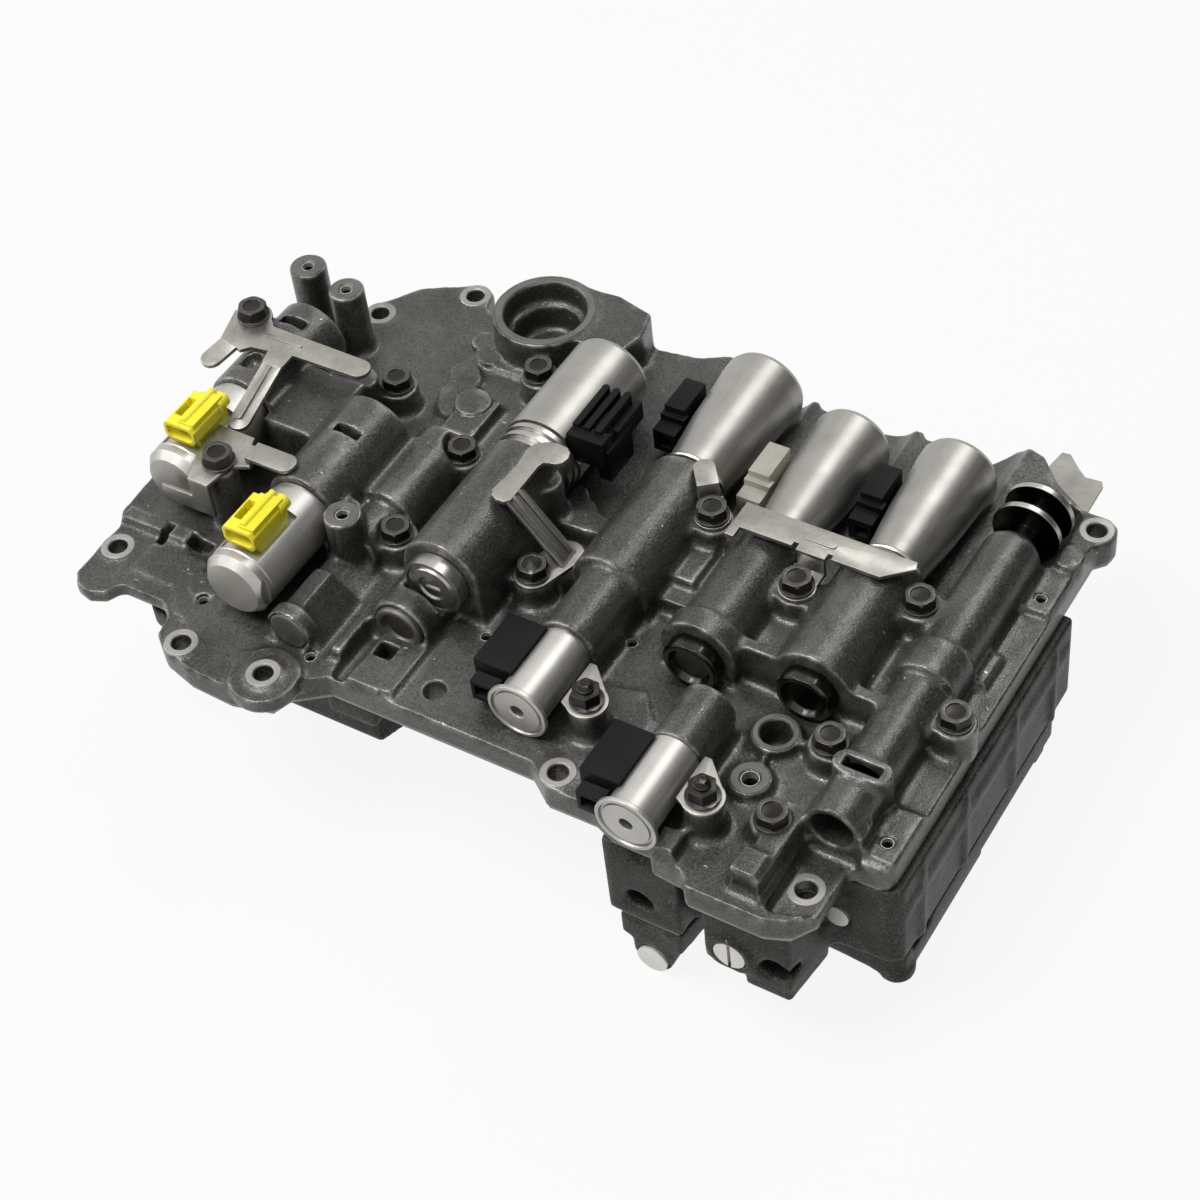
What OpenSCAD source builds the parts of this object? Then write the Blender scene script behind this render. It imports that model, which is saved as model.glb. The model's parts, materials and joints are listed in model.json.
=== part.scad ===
// Valve body of an automatic transmission: three stacked castings with separator plates,
// four proportional solenoids, two pressure solenoids, two shift solenoids and the manual valve.

/* [Castings] */
// thickness of the upper body's deck
deck_t = 10; // [8:0.5:14]
// thickness of each separator plate
plate_t = 1.2; // [0.8:0.1:2]
// thickness of the middle body
middle_t = 38; // [36:1:42]
// thickness of the lower body at its feet
lower_t = 27; // [24:1:32]
// diameter of the through holes for the case bolts
case_hole_d = 7; // [6.4:0.1:8]
// diameter of the machined ring round a case bolt hole
case_ring_d = 13.2; // [11:0.1:15]

/* [Filter port] */
// bore of the filter port
port_d = 32; // [26:0.5:36]
// outside diameter of the filter port
port_od = 41; // [38:0.5:46]
// height of the filter port's rim above the deck
port_h = 15; // [12:0.5:20]

/* [Valve housings] */
// outside radius of housing a
house_a_r = 15.8; // [14:0.1:17]
// outside radius of housings b and d
house_bd_r = 15; // [13.5:0.1:15.2]
// outside radius of housing c
house_c_r = 13; // [12:0.1:13.5]
// outside radius of the two pressure valve housings
house_p_r = 15.1; // [13:0.1:15.2]
// outside radius of the manual valve's tube
tube_r = 10.7; // [10:0.1:11.5]

/* [Valves] */
// diameter of the regulator spools
spool_d = 16; // [14:0.5:17]
// diameter of the pressure spools
pressure_spool_d = 14; // [12:0.5:15]
// diameter of the manual valve
manual_d = 15; // [13:0.5:16]
// diameter of the shift valve
shift_spool_d = 10; // [9:0.5:11]
// radial running clearance of a valve in its bore
run_gap = 0.04; // [0.02:0.01:0.08]
// wire diameter of the valve springs
wire_d = 1.4; // [1:0.1:1.8]

/* [Solenoids] */
// radius of the straight can a
can_a_r = 15.8; // [14:0.1:16.5]
// radius of can b at its closed end
can_b_r = 16; // [14:0.1:16.5]
// radius of cans c and d at their closed ends
can_cd_r = 14.8; // [13:0.1:15.5]
// radius of the pressure solenoid cans
can_p_r = 13.3; // [12:0.1:14.5]
// radius of the shift solenoid cans
can_s_r = 9.2; // [8:0.1:10]
// radius of the end flange of a shift solenoid
flange_s_r = 11.4; // [10:0.1:12]

/* [Sheet metal] */
// thickness of clips and brackets
sheet_t = 1.6; // [1:0.1:2]

/* [Fasteners] */
// thread diameter of the bolts
bolt_d = 6; // [5:0.5:6]
// width across the flats of the bolt heads
bolt_af = 10; // [9:0.5:11]
// height of the hexagon
bolt_head_h = 4; // [3:0.5:6]

/* [Hidden] */
$fn = 64;
deck_top = lower_t + middle_t + deck_t + 2 * plate_t;
datum_x = 19.8;
datum_y = -26;
z_up = -deck_t - plate_t;
z_mid = z_up - middle_t;
z_low = z_mid - plate_t;
z_bot = -deck_top;
clear = 0.3;
cast_grey = [0.34, 0.335, 0.32];
steel = [0.72, 0.71, 0.69];
zinc = [0.73, 0.72, 0.69];
dark_steel = [0.2, 0.2, 0.2];
black_plastic = [0.1, 0.1, 0.1];
grey_plastic = [0.64, 0.63, 0.58];
yellow_plastic = [0.9, 0.86, 0.2];

// axes of the bores that run along y: [x, z]
ax_a = [-45.4, 17.5];
ax_b = [5.5, 9.5];
ax_c = [47.5, 9];
ax_d = [88, 9];
ax_p1 = [-160.5, 15.6];
ax_p2 = [-109.5, 15.6];
ax_s1 = [7, 11];
ax_s2 = [63, 11];
ax_m = [ax_d[0] + 32.7, 6.5];
ax_e = [-86.4, 6.5];
ax_f = [-53, 5];
ax_v = [96.2, z_up - 31];

// the right edge of the deck follows the manual valve
mx = ax_m[0];
edge_x = mx + 22.3;

// front and back of the housings along y
a_y = [-28.3, 28.5];
b_y = [-2, 54];
c_y = [-14, 43];
d_y = [-9.5, 46];
p1_y = [12, 59];
p2_y = [-21, 26];
m_y = [-57.4, 80];
boss_s1_y = [-32, 0];
boss_m_y = -37;
boss_s2_y = [-56, -32];

// case bolt holes on the deck: [x, y, height of the ring]
case_holes = [[-171.3, -55.8, 0.8], [-121.6, -83, 0.8], [-85.3, -83, 3.2], [27.5, -72.6, 0.8],
    [-155.7, 92, 0.8], [-127, 116.8, 0.8], [edge_x - 3, 105, 0.8]];
plain_hole = [-29.4, -60.7];
pocket_hole = [mx - 0.7, -74];
pocket_z = -4.5;

// middle of the gap between housings c and d, and half the width of the clip's foot in it
gap_x = (ax_c[0] + house_c_r + ax_d[0] - house_bd_r) / 2;
foot_w = 5.8;

// bolts through the stack: [x, y, height of the seat, thickness of a foot below the head]
bolts = [[-119, 52.5, 10, 0], [-76.3, 32, 10, 0], [-75.6, -12.6, 10, 0], [-73.5, 80.5, 10, 0],
    [gap_x, 21.6, 18, sheet_t], [ax_d[0] + 18.7, 34, 16, 0], [mx + 16.3, -2, 10, 0],
    [mx - 16.1, -27.2, 8.5, 0], [mx - 18.4, -62.5, 7.5, 0], [24.9, 38.1, 18, sheet_t]];
bolt_l = 36;
bolt_hole_z = z_up - 21;

// seats of the bracket bolts and studs: [x, y, height of the seat]
tee_seat = [-173.8, 42.2, 30.6];
bracket_seat = [-141.5, -24.5, 27];
studs = [[27.3, -51.5, 13], [81.1, -69.1, 13]];
hook_seat = [-21.5, -7.5, 9];

deck_line = [[-178, -46], [-178, -72], [-174, -77], [-168, -78.5], [-162, -76], [-159, -70], [-140, -70],
    [-134, -75], [-132.5, -83], [-126, -88], [-113.5, -91.5], [-95.5, -92.3], [-80, -88.5], [-77.5, -81.5],
    [-66, -72.7], [16.5, -72.7], [26.5, -79.9], [45, -79.7], [52.5, -82.7], [70, -82.7], [70.7, -87.7],
    [83, -88.7], [87, -93.7], [mx - 6.2, -93.7], [mx + 2.3, -90.5], [mx + 7.9, -82], [mx + 8.1, -60.5],
    [edge_x - 5, -60.5], [edge_x - 1.5, -59], [edge_x, -55.5], [edge_x, 97], [edge_x + 3.6, 101],
    [edge_x + 4.4, 105], [edge_x + 3, 109.5], [edge_x - 1, 112.2], [edge_x - 12, 113], [118, 121],
    [109, 130.5], [104, 132.5], [97, 134], [88, 124], [66, 121], [64, 124],
    [48, 124], [47, 119], [25, 119], [22, 122], [15, 121], [2, 130], [-20, 130], [-30, 124], [-50, 121],
    [-62, 113], [-102, 109], [-119, 112], [-121, 121], [-127, 124.2], [-133, 121.5], [-141, 117.5],
    [-150, 112], [-161.5, 95], [-163, 88], [-170, 84], [-179, 82], [-181, 74], [-178, 62], [-187, 54],
    [-187, 42], [-180, 36], [-183, 10], [-183, -22], [-182, -40]];

middle_line = [[-150, -30], [-128, -58], [-62, -58], [-58, -46], [44, -46], [48, -82.4],
    [76, -82.4], [76, -72], [84, -72], [86.5, -84.8], [mx - 2.3, -84.8], [mx + 0.3, -60.8],
    [edge_x - 2, -60.2], [edge_x + 2.6, -57], [edge_x + 2.6, 74], [edge_x - 15, 76], [120, 108],
    [-18, 108], [-24, 98], [-60, 98], [-70, 108], [-128, 106], [-150, 84]];

lower_line = [[-138, -14], [-120, -22], [38, -22], [50, -50], [51.5, -82.2], [75, -82.2], [78, -57],
    [98, -55.4], [edge_x - 1.4, -57.6], [edge_x + 2.2, -54], [edge_x + 2.2, 62], [edge_x - 23, 66],
    [112, 92], [-60, 92],
    [-128, 90], [-138, 74]];

// the lower body's deep part below its flange
sump_line = [[-134, -10], [-118, -17], [60, -17], [72, -42], [112, -44], [edge_x - 2, -40],
    [edge_x - 2, 14], [60, 15], [58, 60], [-126, 62], [-134, 50]];
flange_z = z_low - 11;
foot_x = 63;
foot_z = z_bot + 7.3;
face_plug_r = 5.8;
side_plug_at = [mx + 2.4, z_up - 21.6];
side_plug_r = 4.6;
disc_r = 12.6;

// point i of a line moved inward by d; the line runs counter-clockwise
function unit(v) = v / norm(v);
function left_of(v) = [-v[1], v[0]];
function inset(p, d) = [for (i = [0:len(p) - 1])
    let (a = p[(i + len(p) - 1) % len(p)], b = p[i], c = p[(i + 1) % len(p)],
        n1 = left_of(unit(b - a)), n2 = left_of(unit(c - b)))
    b + d * (n1 + n2) / (1 + n1 * n2)];

module at_deck() {
    translate([datum_x, datum_y, deck_top]) children();
}

module block(x0, x1, y0, y1, z0, z1) {
    translate([x0, y0, z0]) cube([x1 - x0, y1 - y0, z1 - z0]);
}

module post(x, y, r, z0, z1) {
    translate([x, y, z0]) cylinder(r = r, h = z1 - z0);
}

module rod(ax, r, y0, y1) {
    translate([ax[0], y0, ax[1]]) rotate([-90, 0, 0]) cylinder(r = r, h = y1 - y0);
}

module turned(ax, y0, profile) {
    translate([ax[0], y0, ax[1]]) rotate([-90, 0, 0]) rotate_extrude() polygon(profile);
}

module plan(line, z0, z1) {
    translate([0, 0, z0]) linear_extrude(height = z1 - z0) polygon(line);
}

// housing with an arched top and straight flanks down into the deck
module arch(ax, r, y0, y1) {
    rod(ax, r, y0, y1);
    block(ax[0] - r + 0.5, ax[0] + r - 0.5, y0 + 0.4, y1 - 0.4, -5.2, ax[1]);
}

module hex(af, h) {
    cylinder(r = af / 2 / cos(30), h = h, $fn = 6);
}

// flanged hexagon bolt with its seat at z = 0
module flange_bolt(shank) {
    difference() {
        union() {
            cylinder(r = bolt_af * 0.62, h = 1.4);
            intersection() {
                translate([0, 0, 1]) hex(bolt_af, bolt_head_h + 0.4);
                cylinder(r1 = bolt_af * 0.9, r2 = bolt_af * 0.5, h = bolt_head_h + 1.6);
            }
        }
        translate([0, 0, bolt_head_h + 0.8]) cylinder(r = bolt_af * 0.34, h = 2);
    }
    translate([0, 0, -shank]) cylinder(r = bolt_d / 2, h = shank + 0.5);
}

// spool with three lands; the axial sizes are shares of its length
module spool(ax, y0, length, d) {
    r = d / 2;
    neck = r * 0.58;
    turned(ax, y0, [[0, 0], [r * 0.7, 0], [r * 0.7, length * 0.05], [r, length * 0.05], [r, length * 0.26],
        [neck, length * 0.26], [neck, length * 0.42], [r, length * 0.42], [r, length * 0.6],
        [neck, length * 0.6], [neck, length * 0.76], [r, length * 0.76], [r, length * 0.95],
        [r * 0.5, length * 0.95], [r * 0.5, length], [0, length]]);
}

// helical spring of round wire along y
module coil(ax, y0, length, r, turns) {
    steps = 16;
    sides = 6;
    w = wire_d / 2;
    n = turns * steps;
    points = [for (i = [0:n]) for (j = [0:sides - 1])
        let (a = 360 * i / steps, b = 360 * j / sides, rr = r + w * cos(b))
        [rr * cos(a), w + (length - 2 * w) * i / n + w * sin(b), rr * sin(a)]];
    sheath = [for (i = [0:n - 1]) for (j = [0:sides - 1])
        let (k = (j + 1) % sides)
        [i * sides + j, i * sides + k, (i + 1) * sides + k, (i + 1) * sides + j]];
    caps = [[for (j = [0:sides - 1]) sides - 1 - j], [for (j = [0:sides - 1]) n * sides + j]];
    translate([ax[0], y0, ax[1]]) polyhedron(points = points, faces = concat(sheath, caps), convexity = 10);
}

// gaps between spool ends, springs and seats, all along y
regulator_stroke = 5;
spring_a = [a_y[0] + 7.2, 16];
spring_b = [-18, 15];
spring_c = [c_y[0] + 7.2, 15];
spring_d = [d_y[0] + 7.2, 15];
spool_a = [spring_a[0] + spring_a[1], 26];
spool_b = [spring_b[0] + spring_b[1], 40];
spool_c = [spring_c[0] + spring_c[1], 25];
spool_d_y = [spring_d[0] + spring_d[1], 25];
nose_a = spool_a[0] + spool_a[1] + 0.05;
nose_b = spool_b[0] + spool_b[1] + 0.05;
nose_c = spool_c[0] + spool_c[1] + 0.05;
nose_d = spool_d_y[0] + spool_d_y[1] + 0.05;
spring_p_l = 13;
spool_p_l = 23;
spool_p1 = p1_y[0] + 7;
spool_p2 = p2_y[0] + 7;
shift_y = [-85, -30];
shift_plug_l = 9;
shift_spool_l = 26;
shift_spring_l = 12;

module upper_body() color(cast_grey) at_deck() difference() {
    union() {
        plan(deck_line, -deck_t, 0);
        for (h = case_holes) post(h[0], h[1], case_ring_d / 2, -4, h[2]);
        post(-85.3, -83, 12.6, -4, 2);
        housings();
        manual_tube();
        left_group();
        right_group();
        front_group();
        filter_port();
        for (b = bolts) post(b[0], b[1], 7.6, -4, b[2] - b[3]);
        post(tee_seat[0], tee_seat[1], 6, -4, tee_seat[2]);
        post(bracket_seat[0], bracket_seat[1], 6, -4, bracket_seat[2]);
        for (s = studs) post(s[0], s[1], 6.8, -4, s[2]);
        post(hook_seat[0], hook_seat[1], 7, -4, hook_seat[2]);
        post(-174, 77, 7.2, -4, 30);
        post(-153.5, 73, 6.9, -4, 29);
    }
    bores();
    deck_cuts();
    for (h = case_holes) post(h[0], h[1], case_hole_d / 2, -deck_t - 1, 6);
    post(plain_hole[0], plain_hole[1], 4, -deck_t - 1, 6);
    post(pocket_hole[0], pocket_hole[1], case_hole_d / 2, -deck_t - 1, 6);
    for (b = bolts) post(b[0], b[1], bolt_d / 2 + clear, -deck_t - 1, 20);
    for (s = [tee_seat, bracket_seat]) post(s[0], s[1], bolt_d / 2 + clear, s[2] - 18, s[2] + 1);
    for (s = studs) post(s[0], s[1], bolt_d / 2 + clear, s[2] - 12, s[2] + 1);
    post(hook_seat[0], hook_seat[1], bolt_d / 2 + clear, hook_seat[2] - 13, hook_seat[2] + 1);
    post(-174, 77, 2.5, 12, 31);
    post(-153.5, 73, 2.5, 12, 30);
    post(-93, -19.5, 2.5, 6, 22);
}

module housings() {
    arch(ax_a, house_a_r, a_y[0], a_y[1]);
    arch(ax_b, house_bd_r, b_y[0], b_y[1]);
    arch(ax_s1, 11.3, boss_s1_y[0], boss_s1_y[1]);
    arch(ax_c, house_c_r, c_y[0] + 8, c_y[1]);
    rod(ax_c, house_c_r + 1.6, c_y[0], c_y[0] + 9);
    arch(ax_d, house_bd_r, d_y[0], d_y[1]);
    arch(ax_s2, 9.9, boss_s2_y[0], boss_s2_y[1]);
    // web between housings c and d and on to the tube
    block(ax_c[0] + 2.5, ax_d[0] - 2, d_y[0] + 0.6, d_y[0] + 5.4, -3, 16.1);
    block(ax_c[0] + 2.5, ax_d[0] - 2, d_y[0] + 4, 30, -3, 8.4);
    block(ax_d[0] - 2, ax_m[0], d_y[0] + 0.3, -4.4, -3, 13.4);
    block(100, 110, 0, 42, -3, 7);
    // web between housings a and b
    plan([[-36, 18], [-9, 20], [-7, 27], [-20, 30], [-27, 38], [-36, 40]], -3, 9);
    post(-33.6, 22.6, 6.4, -3, 25);
    block(10, 30, 14, 40, -3, 9.4);
    block(17, 46, 5.5, 12, -3, 6);
    // housing e with a ridge and a sloping flank, its steps, and housing f below plug f
    rod(ax_e, 8.9, -66, -60);
    translate([ax_e[0], -40, 0]) rotate([90, 0, 0]) linear_extrude(height = 23)
        polygon([[-8.2, -3], [-8.2, 7], [-4.6, 12.2], [2.6, 13.8], [11.8, -0.5], [11.8, -3]]);
    translate([ax_e[0], -24, 0]) rotate([90, 0, 0]) linear_extrude(height = 17)
        polygon([[-8.6, -3], [-8.6, 5], [-5.6, 8.8], [-2.4, 9.2], [11, -0.6], [11, -3]]);
    arch(ax_e, 8.2, -24, 0);
    arch(ax_e, 11.2, -4, 35);
    arch(ax_f, 11.3, -45.6, -20);
}

module manual_tube() {
    arch(ax_m, tube_r - 0.9, m_y[0], -12);
    arch(ax_m, tube_r - 1.3, -13, 10);
    arch(ax_m, tube_r + 1.2, 8, 22);
    arch(ax_m, tube_r, 25, m_y[1] - 3);
    arch(ax_m, tube_r - 0.8, 20, 27);
    rod(ax_m, tube_r - 2.2, m_y[1] - 6, m_y[1]);
    // slotted boss across the tube
    block(mx - 5.3, mx + 6.7, boss_m_y - 4.4, boss_m_y + 4.4, -3, 17.2);
    for (x = [-5.3, 6.7]) post(mx + x, boss_m_y, 4.6, -3, 17.3);
    block(mx + 7.3, mx + 15.3, 22, 36, -3, 3);
}

module left_group() {
    arch(ax_p2, house_p_r, p2_y[0], p2_y[1]);
    arch(ax_p1, house_p_r - 0.6, p1_y[0], p1_y[1]);
    block(-146, -122, 6, 38, -3, 22);
    block(-148, -121, 30, 48, -3, 12);
    block(-176, -146, 12.6, 40, -3, 13);
    post(-93, -19.5, 7.3, -3, 21);
    // deck bosses round the left housings
    post(-128, 42, 7, -3, 19);
    post(-98, 62, 9, -3, 2.4);
    post(-104, 74, 6, -3, 2);
    block(-96, -82, 44, 66, -3, 5);
    block(-178, -147, -44, -38, -3, 3);
}

module right_group() {
    // wall beside the pocket, and the two blocks at the front edge
    plan([[mx - 19.7, -86], [mx - 10.2, -87.5], [mx - 9.3, -54], [mx - 17.2, -54]], -3, 9);
    block(mx - 20.7, mx - 12.2, -87, -77, -3, 10.5);
    block(71.5, 79, -86.8, -78, -3, 5);
    block(mx - 11.7, mx + 10.9, -57.5, -50, -3, 9);
    // collar of the open passage and the screw boss
    post(85, -28.2, 8.5, -3, 4.8);
    post(86, -48, 7.3, -3, 3.4);
    // long rail at the right edge with its two screw holes
    block(edge_x - 12, edge_x - 0.6, -57, -36, -3, 1.8);
    block(edge_x - 11.4, edge_x - 0.8, 60, 96, -3, 2.6);
    post(edge_x - 5, 86, 5.4, -3, 5);
    // back wing behind the manual valve
    plan([[98, 112], [128, 112], [117, 120.5], [108.5, 129.8], [98, 132]], -3, 1.6);
}

module front_group() {
    // raised pads in front of housing f
    block(-58.5, -46, -71.5, -44, -3, 2.6);
    block(-70, -66, -64, -40, -3, 4.5);
    block(-45, -41, -70, -40, -3, 2.2);
    // low pads of the deck
    plan([[-160, -62], [-140, -62], [-132, -72], [-118, -76], [-118, -60], [-160, -40]], -3, 0.9);
    plan([[30, -66], [44, -62], [44, -40], [36, -30], [20, -34], [18, -60]], -3, 0.9);
}

module filter_port() {
    post(-87.5, 108, port_od / 2, -9.4, port_h);
    plan([[-72, 98], [-50, 100], [-47, 112], [-50, 124], [-66, 128], [-80, 127]], -8, 14.4);
    block(-108, -68, 84, 100, -4, 2);
}

module bores() {
    rod(ax_a, spool_d / 2 + run_gap, a_y[0] - 1, a_y[1] + 1);
    rod(ax_b, spool_d / 2 + run_gap, spring_b[0] - 1, b_y[1] + 1);
    rod(ax_s1, 6.2, boss_s1_y[0] - 1, boss_s1_y[0] + 10);
    rod(ax_c, spool_d / 2 + run_gap, c_y[0] - 1, c_y[1] + 1);
    rod(ax_d, spool_d / 2 + run_gap, d_y[0] - 1, d_y[1] + 1);
    rod(ax_s2, 6.2, boss_s2_y[0] - 1, boss_s2_y[0] + 12);
    rod(ax_p1, pressure_spool_d / 2 + run_gap, p1_y[0] - 1, spool_p1 + spool_p_l + spring_p_l);
    rod(ax_p2, pressure_spool_d / 2 + run_gap, p2_y[0] - 1, spool_p2 + spool_p_l + spring_p_l);
    rod(ax_m, manual_d / 2 + run_gap, m_y[0] - 4, m_y[1] + 1);
    rod(ax_e, 7.8, -67, -61);
    rod(ax_f, 9.5, -48, -38);
    // filter port bore and its step
    post(-87.5, 108, port_d / 2, 5, port_h + 1);
    post(-87.5, 108, port_d / 2 - 3, -5.5, 6);
    // passages that open on the deck
    post(85, -28.2, 5.4, -7, 6);
    post(86, -48, 3.2, -8, 5);
}

module deck_cuts() {
    // troughs below the conical cans and the manual valve's discs
    rod(ax_b, can_b_r + 1.3, b_y[1] + 0.2, 140);
    rod(ax_c, can_cd_r + 1.3, c_y[1] + 0.2, 140);
    rod(ax_d, can_cd_r + 1.3, d_y[1] + 0.2, 140);
    rod(ax_m, disc_r + 1.4, m_y[1] + 0.4, 112);
    // room round plugs, cans and flanges
    rod(ax_a, 12, a_y[0] - 8, a_y[0] - 0.2);
    rod(ax_c, 10.9, c_y[0] - 8, c_y[0] - 0.2);
    rod(ax_d, 10.9, d_y[0] - 8, d_y[0] - 0.2);
    rod(ax_a, can_a_r + 0.5, a_y[1] + 0.2, 100);
    rod(ax_p1, can_p_r + 0.5, p1_y[0] - 45, p1_y[0] - 0.2);
    rod(ax_p2, can_p_r + 0.5, p2_y[0] - 45, p2_y[0] - 0.2);
    rod(ax_s1, flange_s_r + 0.4, boss_s1_y[0] - 34, boss_s1_y[0] - 29.6);
    rod(ax_s2, flange_s_r + 0.4, boss_s2_y[0] - 34, boss_s2_y[0] - 29.6);
    // spot faces of the bolts, and the step under the finger clip
    for (b = bolts) post(b[0], b[1], bolt_af * 0.62 + 0.5, b[2] - b[3], b[2] + 9);
    translate([bolts[9][0], bolts[9][1], bolts[9][2] - bolts[9][3]]) rotate([0, 0, 38])
        translate([-5.3, 0, 0]) cube([10.6, 9.6, 9]);
    // room for the long clip's foot and web
    block(gap_x - foot_w - clear, gap_x + foot_w + clear, bolts[4][1], 31 + sheet_t,
        bolts[4][2] - bolts[4][3], 40);
    // pocket at the right front corner
    plan([[mx - 8.1, -90], [mx + 2.8, -87], [mx + 11.3, -81], [mx + 11.3, -57.6], [mx - 8.1, -57.6]],
        pocket_z, 4);
    // slot of the tube's boss
    block(mx - 5.9, mx + 7.3, boss_m_y - 2.1, boss_m_y + 2.1, 12, 18);
    // windows in the pressure valve housings
    block(-113, -102.5, 6, 10, 24, 34);
    block(-166.5, -155.5, 46.5, 50.5, 24, 34);
    block(-166, -159, 20, 28, 25, 34);
    // thin tip of the deck at the left front
    block(-190, -136, -90, -60, -deck_t - 1, -5.5);
    // slots and windows in the deck
    block(-160.2, -156.6, -48, -39, -deck_t - 1, 4);
    block(-148.5, -139.5, -44, -39, -6, 4);
    block(-56.5, -49.5, -58, -52, -6, 4);
    block(-66, -58.8, -72, -46, -3.2, 5);
    for (s = [[-27, -32], [20, -12], [-77, -67.5], [-127, -63], [edge_x - 6.5, -50], [edge_x - 6.5, 66]])
        post(s[0], s[1], 2.2, -6, 5);
}

// plate between the upper and middle bodies, with an ear that stands out behind the wing
module upper_separator_plate() color(steel) at_deck() difference() {
    union() {
        plan(inset(deck_line, 0.8), z_up, -deck_t);
        plan([[107, 118], [126, 108], [129.7, 122.2], [129.5, 135.6], [128.2, 137.8], [122, 137.2],
            [118.3, 140.1], [112.5, 145.7], [109.4, 145.4], [108.2, 138.8]], z_up, -deck_t);
    }
    block(-190, -135, -90, -59, z_up - 1, 0);
    for (h = case_holes) post(h[0], h[1], case_hole_d / 2 + clear, z_up - 1, 0);
    post(plain_hole[0], plain_hole[1], 4 + clear, z_up - 1, 0);
    post(pocket_hole[0], pocket_hole[1], case_hole_d / 2 + clear, z_up - 1, 0);
    for (b = bolts) post(b[0], b[1], bolt_d / 2 + clear, z_up - 1, 0);
    for (x = [-120:30:120]) block(x - 6, x + 6, -20, -15, z_up - 1, 0);
    for (x = [-105:30:105]) post(x, 20, 3, z_up - 1, 0);
}

module middle_body() color(cast_grey) at_deck() difference() {
    union() {
        plan(middle_line, z_mid, z_up);
        // belt and ribs on the right side
        block(edge_x - 5, edge_x + 3.7, -54, 70, z_up - 15, z_up - 10);
        for (y = [-44, -12, 26, 58]) post(edge_x + 1.6, y, 2.5, z_mid, z_up - 4);
        rod(ax_v, 7.6, -86.4, -60);
        plan([[mx - 19.7, -84.4], [mx - 2.7, -84.4], [mx - 0.1, -61], [mx - 21.7, -61]],
            z_mid - 7, z_mid + 1);
        plan([[-72, -70], [-52, -70], [-52, -56], [-72, -56]], z_up - 12, z_up);
        plan([[-158, -60], [-150, -67], [-142, -69.5], [-134, -66], [-134, -40], [-152, -40]],
            z_up - 9, z_up);
    }
    for (b = bolts) post(b[0], b[1], bolt_d / 2 + clear, bolt_hole_z, z_up + 1);
    // shift valve bore with the plug's counterbore
    rod(ax_v, shift_spool_d / 2 + run_gap, shift_y[0], shift_y[1]);
    rod(ax_v, shift_spool_d / 2 + 1.2, -90, shift_y[0] + shift_plug_l);
    rod(side_plug_at, side_plug_r + 0.02, -64, -53);
    // oval passage, slot and opening in the front faces
    rod([60, z_up - 27], 4.6, -86, -70);
    rod([61.5, z_up - 27.6], 4.4, -86, -70);
    block(76.6, 80, -90, -72, z_up - 5, z_up + 1);
    block(58, 68, -90, -80, z_up - 6, z_up + 1);
    block(mx + 1.3, mx + 9.3, -70, -56, z_up - 8, z_up - 4.5);
    rod([mx - 7.7, z_up - 30], 5.2, -90, -74);
    block(mx - 14.3, mx - 7.7, -90, -74, z_up - 34.4, z_up - 29);
    // cored passages open to the plate above
    for (x = [-120:30:60]) block(x - 8, x + 8, -24, -8, z_up - 14, z_up + 1);
    for (x = [-105:30:105]) block(x - 5, x + 5, 8, 50, z_up - 14, z_up + 1);
}

module lower_separator_plate() color(dark_steel) at_deck() difference() {
    plan(inset(lower_line, 0.8), z_low, z_mid);
    for (x = [-105:30:105]) block(x - 5, x + 5, 0, 6, z_low - 1, z_mid + 1);
}

// flange under the lower separator plate, the sump below it, and the feet
module lower_body() color(cast_grey) at_deck() difference() {
    union() {
        plan(lower_line, flange_z, z_low);
        plan(sump_line, z_bot, flange_z + 1);
        block(foot_x - 7.8, foot_x + 7.8, -82, -46, foot_z, flange_z + 1);
        rod([foot_x, foot_z], 7.2, -82, -46);
        post(edge_x - 3, -51, 6.4, z_bot + 12.4, flange_z + 1);
        block(edge_x - 25, edge_x - 0.6, 54, 62.6, z_bot + 5, flange_z + 1);
    }
    rod([foot_x, foot_z], face_plug_r + 0.02, -90, -74);
    // cored passages open to the plate above
    for (x = [-105:30:75]) block(x - 6, x + 6, -10, 10, z_low - 16, z_low + 1);
    for (x = [-105:30:45]) block(x - 8, x + 8, 22, 50, z_low - 16, z_low + 1);
    block(edge_x - 4, edge_x + 7, -50, -34, z_low - 3, z_low + 1);
}

// straight can with a drawn rim and the flat front of the wound coil
module solenoid_a_can() color(steel) at_deck() {
    difference() {
        turned(ax_a, 39, [[0, 0], [can_a_r, 0], [can_a_r, 46.6], [can_a_r - 0.7, 48.3], [can_a_r - 2.4, 49],
            [0, 49]]);
        block(-35, -25, 38, 68, 19, 36);
    }
}

module solenoid_a_connector() color(black_plastic) at_deck() {
    block(-35 + clear, -21, 41, 64, 20, 29);
    block(-34.6, -20, 39.8, 46, 19.4, 31.4);
    block(-24, -19, 42, 58, 12, 26);
    for (x = [-33, -28.6, -24]) {
        block(x - 1.3, x + 1.3, 44, 65, 28, 33.2);
        post(x, 65, 1.4, 24, 33.3);
    }
    block(-30, -22.8, 47, 56, 28, 31.2);
    block(-22, -19.4, 50, 67, 22, 29.8);
}

// stacked rings between housing and can, and the nose that drives the spool
module solenoid_a_sleeve() color(steel) at_deck() {
    face = a_y[1] + clear - nose_a;
    turned(ax_a, nose_a, [[0, 0], [4, 0], [4, 1], [spool_d / 2 - clear, 1], [spool_d / 2 - clear, face],
        [13.6, face], [13.6, 32 - nose_a], [15, 32 - nose_a], [15, 34 - nose_a], [14, 34 - nose_a],
        [14, 36 - nose_a], [15.2, 36 - nose_a], [15.2, 38 - nose_a], [13.4, 38 - nose_a],
        [13.4, 39 - nose_a], [0, 39 - nose_a]]);
}

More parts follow.
